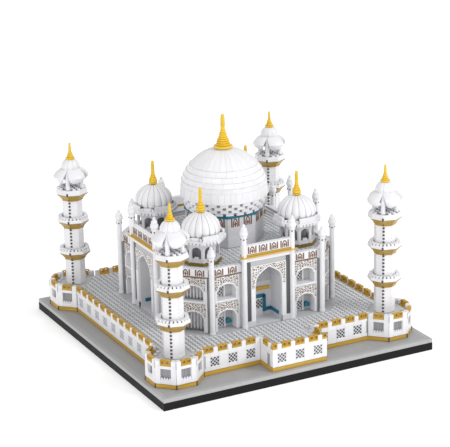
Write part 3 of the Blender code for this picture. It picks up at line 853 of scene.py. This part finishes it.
def wedge(solid, x, y, angle, half_turn, section, gap, steps=4, bulge=0.03):
    """One rib of a segmented dome: a section swept through a small turn, swollen in the middle."""
    points, faces = [], []
    size = len(section)
    for i in range(steps + 1):
        t = 2 * i / steps - 1
        for radius, z in section:
            turn = t * max(half_turn - gap / max(radius, 0.5), 0.2 * half_turn)
            reach = radius * (1 - bulge * t * t * (radius > 0.9))
            points.append((reach * math.cos(turn), reach * math.sin(turn), z))
    faces.append(list(range(size)))
    faces.append(list(reversed(range(steps * size, (steps + 1) * size))))
    for i in range(steps):
        for k in range(size):
            n = (k + 1) % size
            faces.append((i * size + k, (i + 1) * size + k, (i + 1) * size + n, i * size + n))
    solid.stand(x, y, angle)
    solid.add(points, faces)
    solid.stand()


def stacked(heights, radii):
    """Round bricks piled up with a groove at each joint, from their heights and edge radii."""
    cut = []
    for z0, z1, (r0, r1) in zip(heights, heights[1:], radii):
        cut += [(r0 * 0.8, z0 + 0.01), (r0 * 0.97, z0 + 0.08), (r0, z0 + 0.14), (r1, z1 - 0.07),
                (r1 * 0.8, z1 - 0.01)]
    return cut


def make_spire(name, body, foot, heights, radii, tip, x=0.0, y=0.0, count=16):
    spire = Solid()
    spire.turn(foot + stacked(heights, radii) + tip, count, x, y)
    piece(name, spire, SHINE, body=body, replaces=(body,), smooth=True)


def make_finials():
    for quarter, side in enumerate(SIDES):
        x, y = spot(quarter, -CORNER, -CORNER)
        make_spire(
            "minaret_spire_" + side, "finial_" + side,
            [(0.0, 31.78), (0.94, 31.78), (0.97, 31.85), (0.97, 32.05), (0.85, 32.1)],
            (32.1, 32.45, 32.85, 33.3, 33.9, 34.5),
            ((0.72, 0.66), (0.62, 0.54), (0.5, 0.38), (0.33, 0.28), (0.3, 0.25)),
            [(0.24, 34.52), (0.21, 35.05), (0.0, 35.22)], x, y)
        x, y = spot(quarter, -PAVILION_AT, -PAVILION_AT)
        make_spire(
            "pavilion_spire_" + side, f"pavilion_{side}_finial", [(0.0, 27.68)],
            (27.68, 28.05, 28.6, 29.05, 29.55, 30.1, 30.7, 31.3, 31.9),
            ((0.8, 0.88), (0.9, 0.84), (0.8, 0.7), (0.62, 0.52), (0.44, 0.36), (0.4, 0.36),
             (0.39, 0.35), (0.38, 0.34)),
            [(0.34, 31.92), (0.3, 32.45), (0.0, 32.62)], x, y)
    make_spire(
        "dome_spire", "main_finial",
        [(0.0, 36.53), (1.9, 36.53), (1.97, 36.6), (1.97, 36.8), (1.8, 36.92)],
        (36.95, 37.4, 37.85, 38.3, 38.7, 39.15, 39.6, 40.1, 40.8, 41.4, 42.0, 42.6),
        ((1.42, 1.4), (1.34, 1.3), (1.22, 1.14), (0.98, 0.92), (0.86, 0.8), (0.76, 0.66),
         (0.62, 0.54), (0.5, 0.42), (0.52, 0.46), (0.5, 0.44), (0.47, 0.4)),
        [(0.42, 42.62), (0.36, 43.2), (0.0, 43.35)], count=20)


# ---------------------------------------------------------------- hall

def motif(ink, x, z, face, tall=1.5):
    """One printed figure: an arch with a bar across it between two upright bars."""
    near, far = face - 0.035, face + 0.01
    for side in (-1, 1):
        low, high = x + side * 0.8 - 0.14, x + side * 0.8 + 0.14
        ink.slab([(low, z), (high, z), (high, z + tall), (low, z + tall)], near, far)
    arch = [(x - 0.44, z), (x - 0.42, z + 0.55 * tall), (x - 0.26, z + 0.8 * tall),
            (x, z + 0.95 * tall), (x + 0.26, z + 0.8 * tall), (x + 0.42, z + 0.55 * tall),
            (x + 0.44, z)]
    ink.ribbon(arch, 0.22, near, far)
    ink.slab([(x - 0.12, z), (x + 0.12, z), (x + 0.12, z + 0.6 * tall),
              (x - 0.12, z + 0.6 * tall)], near, far)
    ink.slab([(x - 0.32, z + 0.26 * tall), (x + 0.32, z + 0.26 * tall),
              (x + 0.32, z + 0.38 * tall), (x - 0.32, z + 0.38 * tall)], near, far)


def bud_column(solid, dots, x, y, top, tip):
    """A slender column of round bricks with a stepped bud on a collar."""
    foot = HALL_FOOT
    step = 1.2
    profile = [(COLUMN + 0.06, foot), (COLUMN + 0.06, foot + 0.5), (COLUMN, foot + 0.55)]
    z = foot + 0.55
    while z + step < top:
        z += step
        profile += [(COLUMN, z - 0.03), (COLUMN - 0.03, z), (COLUMN, z + 0.03)]
    rise = tip - top
    bud = ((COLUMN, 0.0), (0.62, 0.02), (0.66, 0.12), (0.62, 0.15), (0.5, 0.17), (0.5, 0.2),
           (0.8, 0.24), (0.84, 0.36), (0.78, 0.48), (0.6, 0.5), (0.66, 0.55), (0.62, 0.68),
           (0.45, 0.74), (0.3, 0.76), (0.34, 0.82), (0.28, 0.93), (0.0, 1.0))
    solid.turn(profile + [(r, top + rise * share) for r, share in bud], 14, x, y)
    for i in range(4):
        px, py = around(x, y, COLUMN + 0.02, TURN + math.radians(10) + i * QUARTER)
        dots.turn([(0.0, top - 0.32), (0.14, top - 0.27), (0.14, top - 0.07), (0.0, top - 0.02)],
                  8, px, py)


def spandrel(solid, middle, half, arch, high, front, back, mark=(0.0, 0.0)):
    """The wall above an arch: a rectangle with the arch cut out of its foot."""
    spring = arch[0][1]
    outline = [(middle + x, z) for x, z in arch]
    outline += [(middle - half, spring), (middle - half, high), (middle + half, high),
                (middle + half, spring)]
    solid.slab(outline, front, back, mark)


HALL_FINISHES = {
    "stone": PALE, "trim": WHITE, "lace": LACE, "grey_lace": GREY_LACE, "ink": BROWN,
    "slate": SLATE, "teal": TEAL, "gold": PEARL, "columns": WHITE, "deep": DEEP, "dots": DARK,
    "grille": LATTICE, "strip": STRIP, "hinge": HINGE,
}


def make_hall_pieces(work, node):
    for kind, solid in vars(work).items():
        if solid.points:
            piece(f"{node}_{kind}", solid, HALL_FINISHES[kind], replaces=(node,),
                  bevel=0.03 if kind in ("stone", "trim", "gold") else 0.0,
                  smooth=kind == "columns")


def niche_face(work, middle, half, face, grille):
    """A two-storey stretch of wall: an arched niche on each floor under a printed parapet."""
    back = face + NICHE_DEPTH
    foot = HALL_FOOT
    pilaster = 0.8
    work.deep.centred(middle, half, back, back + 1.0, foot, ROOF_UNDER)
    for side in (-1, 1):
        low, high = sorted((middle + side * half, middle + side * (NICHE_HALF + pilaster)))
        # On a bay's outer side, and on both sides of the cut corner, the strip beside the corner
        # column is set back and coloured darker grey: painted shade of the recess.
        gap = work.hinge if grille else work.slate
        filler, set_back = (gap, 0.4) if side * middle > 0 or grille else (work.stone, 0.1)
        filler.block(low, high, face + set_back, back + 0.02, foot, PARAPET_LOW)
        low, high = sorted((middle + side * (NICHE_HALF + pilaster - 0.02),
                            middle + side * NICHE_HALF))
        work.trim.block(low, high, face - 0.1, back + 0.01, foot, PARAPET_LOW)
    for floor, (sill, spring, crown, head) in enumerate(STOREYS):
        arch = arch_line(NICHE_HALF, spring, crown, LOW_ARCH)
        spandrel(work.stone, middle, NICHE_HALF + pilaster - 0.02, arch, head, face + 0.02,
                 face + 0.6)
        spandrel(work.lace, middle, NICHE_HALF + 0.45, arch, head - 0.1, face - 0.13,
                 face + 0.03, (middle, spring))
        rim = [(middle + x * 0.95, z - 0.04) for x, z in arch]
        work.trim.ribbon(rim, 0.3, face - 0.16, face + 0.5)
        if floor:
            work.trim.block(middle - NICHE_HALF - pilaster, middle + NICHE_HALF + pilaster,
                            face - 0.14, back, sill - 0.4, sill)
        if grille:
            for i in range(6):
                x = middle + (i - 2.5) * 0.68
                work.stone.turn([(0.2, sill), (0.2, crown + 0.1)], 8, x, face + 1.3)
            work.trim.centred(middle, NICHE_HALF, back - 0.1, back, sill, crown)
            work.slate.centred(middle, NICHE_HALF, face + 0.9, back, sill, sill + 0.2)
        else:
            work.grille.block(middle - 1.35, middle + 0.15, back - 0.12, back, sill + 0.35,
                              crown - 0.4, (middle - 0.6, sill + 1.2))
            work.trim.block(middle + 0.2, middle + 0.5, back - 0.3, back, sill, crown)
            if not floor:
                basin = [(0.55, 0.85), (1.6, 0.85), (1.6, 1.4), (1.35, 1.75), (0.8, 1.75),
                         (0.55, 1.4)]
                work.teal.slab([(middle + a, sill + b) for a, b in basin], back - 0.75, back - 0.02)
    work.trim.centred(middle, half, face - 0.16, face + 0.9, PARAPET_LOW + 0.02,
                      PARAPET_TOP - (0.02 if grille else 0.0))
    work.ink.block(middle - half + 0.02, middle + half - 0.02, face - 0.22, face - 0.1,
                   PARAPET_LOW - 0.02, PARAPET_LOW + 0.2)
    for side in (-1, 1):
        motif(work.ink, middle * 1.02 + side * 1.45, PARAPET_LOW + 0.32, face - 0.16, 1.28)


def portal_side(work):
    """One portal: ledge and printed parapet over a framed arch with a deep recess."""
    face = -PORTAL_FACE
    foot = HALL_FOOT
    wall = -PORTAL_BACK
    half, spring, crown = 2.95, 13.2, 16.85
    arch = arch_line(half, spring, crown, KEEL)
    panel_half, panel_top = 3.9, 17.3
    strip_half = 4.85
    lintel_low = 18.35
    # jambs, return walls and the wall over the arch
    work.stone.centred(0.0, PORTAL_HALF, wall, -CORE - 0.08, foot, ROOF_UNDER)
    for side in (-1, 1):
        work.stone.sided(side, half, PORTAL_HALF, face + 0.4, wall, foot, ROOF_UNDER)
        work.stone.sided(side, strip_half, PORTAL_HALF, face, face + 0.45, foot, lintel_low)
        work.trim.sided(side, half, panel_half, face - 0.1, face + 0.45, foot, spring)
        work.strip.sided(side, panel_half + 0.02, strip_half, face + 0.14, face + 0.42, foot,
                         lintel_low)
        work.stone.sided(side, half, strip_half, face - 0.16, face + 0.3, foot, foot + 1.15)
    spandrel(work.stone, 0.0, half + 0.5, arch, ROOF_UNDER, face + 0.42, wall)
    spandrel(work.trim, 0.0, panel_half, arch, panel_top, face - 0.1, face + 0.44)
    lace = arch_line(half + 0.3, spring - 0.55, crown + 0.12, KEEL)
    spandrel(work.lace, 0.0, panel_half - 0.14, lace, panel_top - 0.12, face - 0.14, face - 0.08,
             (0.0, spring))
    work.trim.ribbon([(x * 1.03, z + 0.03) for x, z in arch], 0.24, face - 0.2, face + 0.1)
    work.hinge.centred(0.0, panel_half, face + 0.06, face + 0.6, panel_top + 0.02, lintel_low)
    # lintel, gold ledge and parapet
    work.trim.centred(0.0, PORTAL_HALF, face - 0.12, face + 1.0, lintel_low + 0.02, 19.26)
    work.gold.block(-PORTAL_HALF - 0.45, PORTAL_HALF + 0.45, face - 0.6, face + 0.6, 19.28, 19.56)
    work.gold.block(-PORTAL_HALF - 0.2, PORTAL_HALF + 0.2, face - 0.4, face + 0.8, 19.58, 19.88)
    work.trim.centred(0.0, PORTAL_HALF, face - 0.1, face + 1.0, 19.9, PORTAL_TOP)
    for i in range(4):
        motif(work.ink, (i - 1.5) * 2.4, 20.12, face - 0.1, 1.4)
    for side in (-1, 1):
        x, y, top, tip = PORTAL_COLUMN
        bud_column(work.columns, work.dots, side * x, y, top, tip)
    # inside the recess: teal door frame and skirting, gold bar above
    door = [(-1.32, DOOR_LOW), (-1.32, 9.0), (1.32, 9.0), (1.32, DOOR_LOW)]
    work.teal.ribbon(door, 0.72, wall - 0.25, wall - 0.02)
    work.grille.centred(0.0, 0.95, wall - 0.12, wall - 0.02, 6.2, 8.65, (0.0, 7.4))
    work.trim.centred(0.0, 0.95, wall - 0.2, wall - 0.02, foot, 6.2)
    work.gold.centred(0.0, 2.5, wall - 0.4, wall - 0.02, 10.3, 10.95)
    work.grey_lace.centred(0.0, half, wall - 0.1, wall - 0.02, 12.0, crown, (0.0, 12.0))
    for side in (-1, 1):
        work.teal.sided(side, half, 1.3, wall - 0.22, wall - 0.02, DOOR_LOW, SKIRTING_TOP)
        work.teal.sided(side, half, half - 0.2, face + 1.3, wall - 0.02, DOOR_LOW, SKIRTING_TOP)
    work.stone.centred(0.0, half, face + 0.1, wall, foot, foot + 0.1)


def make_hall():
    half = BAY - PORTAL_HALF + 0.05
    chamfer = (WING_FACE + WING_CORNER) / math.sqrt(2)
    wings = ("front_right", "back_right", "back_left", "front_left")
    for quarter, name in enumerate(("front", "right", "back", "left")):
        work = Kit(HALL_FINISHES)
        work.stand(spin=quarter * QUARTER)
        portal_side(work)
        make_hall_pieces(work, "portal_" + name)
    for quarter, name in enumerate(wings):
        work = Kit(HALL_FINISHES)
        spin = quarter * QUARTER
        work.stand(spin=spin)
        niche_face(work, BAY, half, -WING_FACE, False)
        work.stand(spin=spin + QUARTER)
        niche_face(work, -BAY, half, -WING_FACE, False)
        work.stand(spin=spin + EIGHTH)
        niche_face(work, 0.0, 3.1, -chamfer, True)
        work.stand(spin=spin)
        inner = CORE + 0.08
        reach = WING_FACE - NICHE_DEPTH - 0.9
        cut = 11.6
        work.stone.plan([(PORTAL_HALF + 0.08, -reach), (cut, -reach), (reach, -cut),
                         (reach, -PORTAL_HALF - 0.08), (inner, -PORTAL_HALF - 0.08),
                         (inner, -inner), (PORTAL_HALF + 0.08, -inner)], HALL_FOOT, ROOF_UNDER)
        for x, y in CORNER_COLUMNS:
            bud_column(work.columns, work.dots, x, y, *CORNER_BUD)
            work.slate.plan(octagon_at(x * 0.965, y * 0.965, 0.42), HALL_FOOT, PARAPET_LOW)
            work.stone.plan(octagon_at(x * 0.965, y * 0.965, 0.42), PARAPET_LOW + 0.01,
                            PARAPET_TOP - 0.04)
        make_hall_pieces(work, "wing_" + name)
    make_roof()


def make_roof():
    studs = Solid()
    span = 17
    for i in range(-span, span):
        for j in range(-span, span):
            x, y = i + 0.5, j + 0.5
            ax, ay = abs(x), abs(y)
            if max(ax, ay) > ROOF_STUD_REACH or ax + ay > ROOF_STUD_CUT:
                continue
            if max(ax, ay) < DRUM + 0.5 and ax + ay < (DRUM + 0.5) * math.sqrt(2):
                continue
            if math.hypot(ax - PAVILION_AT, ay - PAVILION_AT) < PAVILION_CLEAR:
                continue
            studs.stud(x, y, ROOF_TOP)
    piece("roof_studs", studs, LIT_STUD, smooth=True)


# ---------------------------------------------------------------- drum, dome and pavilions

def make_drum():
    walls = Solid()
    ink = Solid()
    low = ROOF_TOP + 0.07
    edges = [low + (DRUM_TOP - low) * i / 5 for i in range(6)]
    length = 2 * DRUM * math.tan(math.pi / 8)
    for z0, z1 in zip(edges, edges[1:]):
        walls.plan(octagon(DRUM), z0 + 0.01, z1 - 0.01)
    for k in range(8):
        ink.stand(spin=k * EIGHTH)
        for i in (-1, 1):
            motif(ink, i * length / 4.3, 21.95, -DRUM, 1.8)
    piece("drum_courses", walls, PALE, replaces=("dome_drum",), bevel=0.03)
    piece("drum_figures", ink, BROWN, replaces=("dome_drum",))
    band = Solid()
    band.plan(octagon(BAND), 23.83, BAND_TOP)
    piece("drum_teal_band", band, TEAL, replaces=("drum_band",), bevel=0.04)
    # Painted shade: the grey cone behind the corbel rows darkens the spaces between the blocks.
    steps = Solid()
    steps.turn([(7.3, BAND_TOP + 0.02), (7.6, BAND_TOP + 0.1), (8.35, SKIRT)], 40)
    blocks = Solid()
    count = 23
    rise = (SKIRT - BAND_TOP - 0.06) / 4
    for row, reach in enumerate((8.0, 8.25, 8.48, 8.68)):
        z = BAND_TOP + 0.04 + rise * row
        for i in range(count):
            blocks.stand(0.0, 0.0, 2 * math.pi * (i + row % 2 / 2) / count)
            width = 0.7 * math.pi * reach / count
            blocks.block(reach - 1.2, reach, -width, width, z + 0.01, z + rise - 0.01)
    piece("dome_footing", steps, SHADE_GREY, replaces=("main_dome",))
    piece("dome_corbels", blocks, WHITE, replaces=("main_dome",))


def ring_of_bricks(bricks, rng, low, high, count, turn, proud, seam):
    """One course of curved bricks between two (radius, height) edges."""
    (r0, z0), (r1, z1) = low, high
    arc = 2 * math.pi / count
    splits = 3
    for i in range(count):
        start = turn + arc * i
        gap = 0.013 / max(r1, 1.0)
        out = rng.uniform(0.0, proud)
        points = []
        for k in range(splits + 1):
            angle = start + gap + (arc - 2 * gap) * k / splits
            c, s = math.cos(angle), math.sin(angle)
            for r, z in ((r0 + out, z0 + seam), (r1 + out, z1 - seam), (r1 - 0.4, z1 - seam),
                         (r0 - 0.4, z0 + seam)):
                points.append((r * c, r * s, z))
        faces = [(0, 1, 2, 3), tuple(4 * splits + n for n in (3, 2, 1, 0))]
        for k in range(splits):
            a, b = 4 * k, 4 * (k + 1)
            for n in range(4):
                m = (n + 1) % 4
                faces.append((a + n, b + n, b + m, a + m))
        bricks.add(points, faces)


def dome_radius(z):
    if z < DOME_CENTRE:
        return DOME_RADIUS
    return math.sqrt(max(DOME_RADIUS ** 2 - (z - DOME_CENTRE) ** 2, 0.0))


def make_dome():
    """Upright skirt bricks, stepped courses over them, and long radial bricks to the crown."""
    rng = random.Random(7)
    bricks = Solid()
    core = Solid()
    ledges = [29.1, 30.1, 31.15, 32.2, 33.25]
    crown = [33.25, 34.0, 34.7, 35.3, 35.8, 36.12, 36.3]
    levels = [SKIRT, DOME_CENTRE] + ledges[:-1] + crown
    profile = [(0.0, SKIRT + 0.02)] + [(dome_radius(z) - 0.2, z + 0.02) for z in levels]
    # Painted shade: the core is grey so the joints between the white bricks read as shadow lines.
    core.turn(profile + [(0.0, DOME_CORE_TOP)], 48)
    core.turn([(1.5, 36.0), (1.5, 36.5)], 20)
    ring_of_bricks(bricks, rng, (DOME_RADIUS + 0.03, SKIRT), (dome_radius(ledges[0]), ledges[0]),
                   44, 0.1, 0.04, 0.01)
    for z0, z1 in zip(ledges, ledges[1:]):
        middle = dome_radius((z0 + z1) / 2)
        count = round(2 * math.pi * middle / 2.1)
        turn = rng.random() * 0.3
        ring_of_bricks(bricks, rng, (dome_radius(z0) - 0.06, z0), (dome_radius(z1) + 0.17, z1),
                       count, turn, 0.03, 0.015)
    petals = 32
    section = [(dome_radius(z) + 0.02, z) for z in crown]
    section += [(0.9, 36.3), (0.9, 36.0), (dome_radius(crown[0]) - 0.6, crown[0])]
    section[0] = (section[0][0], section[0][1] + 0.02)
    for i in range(petals):
        wedge(bricks, 0.0, 0.0, (i + 0.5) * 2 * math.pi / petals, math.pi / petals, section,
              0.014, 2, 0.0)
    piece("dome_core", core, SEAM_SHADE_GREY, replaces=("main_dome",))
    piece("dome_courses", bricks, WHITE_DOME, replaces=("main_dome",), smooth=True)


def eaves_side(eaves, main):
    """One eighth of the eaves: a row of teeth under a ledge, and an upright panel on top."""
    wide = EAVES * math.tan(math.pi / 8) - 0.03
    inner = 3.4 * math.tan(math.pi / 8) - 0.03
    teeth = 5
    pitch = 2 * wide / teeth
    for i in range(teeth):
        at = (i - (teeth - 1) / 2) * pitch
        eaves.slab([(at - 0.25, 22.6), (at - 0.25, 22.3), (at, 22.05), (at + 0.25, 22.3),
                    (at + 0.25, 22.6)], -EAVES, -4.0)
    eaves.plan([(-wide, -EAVES), (wide, -EAVES), (inner, -3.4), (-inner, -3.4)], 22.61, 22.85)
    reach, top, half = (4.3, 23.85, 1.7) if main else (4.05, 23.5, 0.75)
    eaves.centred(0.0, half, -reach, -reach + 0.5, EAVES_TOP, top)
    for end in (-1, 1):
        eaves.sided(end, half + 0.12, half + 0.4, -3.95, -3.5, EAVES_TOP, 23.4)


def make_pavilion(side, x, y):
    base = Solid()
    arcade = Solid()
    eaves = Solid()
    shell = Solid()
    room = Solid()
    node = ("pavilion_" + side,)
    base.plan(octagon_at(x, y, 3.65), ROOF_TOP + 0.05, PAVILION_BASE)
    for i in range(28):
        base.stud(*around(x, y, 3.55, 2 * math.pi * i / 28), PAVILION_BASE, 0.26, 0.16)
    # Painted shade: a dark slate core fills the hollow inside, seen through the arches and between
    # the eaves teeth.
    room.turn([(1.9, 18.1), (1.9, 22.0)], 16, x, y)
    room.plan(octagon_at(x, y, 3.5), 22.0, 23.3)
    half = ARCADE * math.tan(math.pi / 8)
    opening = 0.95
    for k in range(8):
        for solid in (arcade, eaves):
            solid.stand(x, y, k * EIGHTH)
        arch = arch_line(opening, ARCADE_SPRING, 21.35, LOW_ARCH)
        spandrel(arcade, 0.0, half - 0.01, arch, 22.1, -ARCADE, -2.7)
        for s in (-1, 1):
            arcade.sided(s, opening + 0.01, half - 0.01, -ARCADE, -2.75, 18.35, ARCADE_SPRING)
        arcade.centred(0.0, opening, -3.15, -2.75, 18.35, 18.95)
        arcade.centred(0.0, 0.45, -3.25, -2.85, 18.95, 19.35)
        arcade.plan([(-half - 0.1, -3.5), (half + 0.1, -3.5), (half - 0.3, -2.7),
                     (-half + 0.3, -2.7)], 18.2, 18.4)
        eaves_side(eaves, k % 2 == 0)
        eaves.stand(x, y, (k + 0.5) * EIGHTH)
        eaves.slab([(-0.24, 22.3), (0.24, 22.3), (0.24, 22.8), (0.0, 23.15), (-0.24, 22.8)],
                   -4.85, -4.4)
    eaves.stand()
    section = ((1.6, 23.45), (3.5, 23.45), (3.74, 23.8), (3.87, 24.35), (3.82, 24.95),
               (3.6, 25.55), (3.2, 26.15), (2.62, 26.7), (1.95, 27.15), (1.3, 27.45),
               (0.95, 27.6), (0.5, 27.6))
    ribs = 16
    for i in range(ribs):
        wedge(shell, x, y, (i + 0.5) * 2 * math.pi / ribs, math.pi / ribs, section, 0.07, 4, 0.05)
    # Painted shade: a grey lining under the ribs darkens the joints between them.
    lining = Solid()
    lining.turn([(r * 0.96, z - 0.06) for r, z in section[1:-1]], 24, x, y)
    piece("pavilion_base_" + side, base, OLIVE, replaces=node)
    piece("pavilion_room_" + side, room, SLATE, replaces=node)
    piece("pavilion_lining_" + side, lining, SEAM_SHADE_GREY, replaces=node)
    piece("pavilion_arcade_" + side, arcade, PALE, replaces=node, bevel=0.03)
    piece("pavilion_eaves_" + side, eaves, WHITE, replaces=node, bevel=0.03)
    piece("pavilion_ribs_" + side, shell, WHITE_DOME, replaces=node, smooth=True)


# ---------------------------------------------------------------- camera and light

CAMERA_AZIMUTH = -0.47523
CAMERA_ELEVATION = 0.32275
CAMERA_ROLL = -0.021464
CAMERA_DISTANCE = 381.357
CAMERA_ACROSS = -0.365
CAMERA_UP = 19.235
CAMERA_LENS = 147.49            # millimetres; the other lengths are in studs, angles in radians
LIGHT_AIM = (0.0, 0.0, 0.05)    # the lights' places and sizes are in metres, their power in watts
KEY_PLACE, KEY_SIZE, KEY_POWER = (1.3, -1.5, 1.7), 0.9, 21.5
FILL_PLACE, FILL_SIZE, FILL_POWER = (-1.6, -1.4, 1.2), 1.6, 10.5
SKY_STRENGTH = 0.68
FLOOR_GLOW = 0.3


def make_camera():
    back = Vector((math.sin(CAMERA_AZIMUTH) * math.cos(CAMERA_ELEVATION),
                   -math.cos(CAMERA_AZIMUTH) * math.cos(CAMERA_ELEVATION),
                   math.sin(CAMERA_ELEVATION)))
    right = (-back).cross(Vector((0, 0, 1))).normalized()
    up = back.cross(right)
    cos, sin = math.cos(CAMERA_ROLL), math.sin(CAMERA_ROLL)
    right, up = right * cos + up * sin, up * cos - right * sin
    place = back * CAMERA_DISTANCE + right * CAMERA_ACROSS + up * CAMERA_UP
    data = bpy.data.cameras.new("camera")
    data.lens = CAMERA_LENS
    data.sensor_width = 36.0
    data.clip_start = 0.05
    data.clip_end = 50.0
    camera = bpy.data.objects.new("camera", data)
    turn = Matrix((right, up, back)).transposed().to_4x4()
    where = place * PITCH + Vector((MIDDLE_X, MIDDLE_Y, FLOOR_Z))
    camera.matrix_world = Matrix.Translation(where) @ turn
    bpy.context.scene.collection.objects.link(camera)
    bpy.context.scene.camera = camera


def area_light(name, place, size, power):
    data = bpy.data.lights.new(name, "AREA")
    data.shape = "DISK"
    data.size = size
    data.energy = power
    light = bpy.data.objects.new(name, data)
    direction = Vector(LIGHT_AIM) - Vector(place)
    light.location = place
    light.rotation_euler = direction.to_track_quat("-Z", "Y").to_euler()
    bpy.context.scene.collection.objects.link(light)


def make_studio():
    mesh = bpy.data.meshes.new("floor")
    bm = bmesh.new()
    bmesh.ops.create_grid(bm, x_segments=1, y_segments=1, size=6.0)
    bm.to_mesh(mesh)
    bm.free()
    floor = bpy.data.objects.new("floor", mesh)
    bpy.context.scene.collection.objects.link(floor)
    recipe = Recipe("studio_floor")
    recipe.shader.inputs["Base Color"].default_value = (0.97, 0.97, 0.97, 1.0)
    recipe.shader.inputs["Roughness"].default_value = 0.9
    recipe.shader.inputs["Specular IOR Level"].default_value = 0.1
    recipe.shader.inputs["Emission Color"].default_value = (1.0, 1.0, 1.0, 1.0)
    recipe.shader.inputs["Emission Strength"].default_value = FLOOR_GLOW
    mesh.materials.append(recipe.material)
    world = bpy.data.worlds.new("studio")
    world.use_nodes = True
    sky = world.node_tree.nodes["Background"]
    sky.inputs["Color"].default_value = (1.0, 1.0, 1.0, 1.0)
    sky.inputs["Strength"].default_value = SKY_STRENGTH
    bpy.context.scene.world = world
    area_light("key", KEY_PLACE, KEY_SIZE, KEY_POWER)
    area_light("fill", FILL_PLACE, FILL_SIZE, FILL_POWER)
    bpy.context.scene.view_settings.view_transform = "Standard"
    bpy.context.scene.view_settings.look = "None"


def main():
    finish_base()
    make_tiles()
    make_deck_studs()
    make_walls()
    make_hall()
    make_drum()
    make_dome()
    make_finials()
    for quarter, side in enumerate(SIDES):
        make_bastion(side, quarter)
        x, y = spot(quarter, -CORNER, -CORNER)
        make_shaft(side, x, y)
        make_balconies(side, x, y)
        make_kiosk(side, x, y)
        x, y = spot(quarter, -PAVILION_AT, -PAVILION_AT)
        make_pavilion(side, x, y)
    make_camera()
    make_studio()


main()
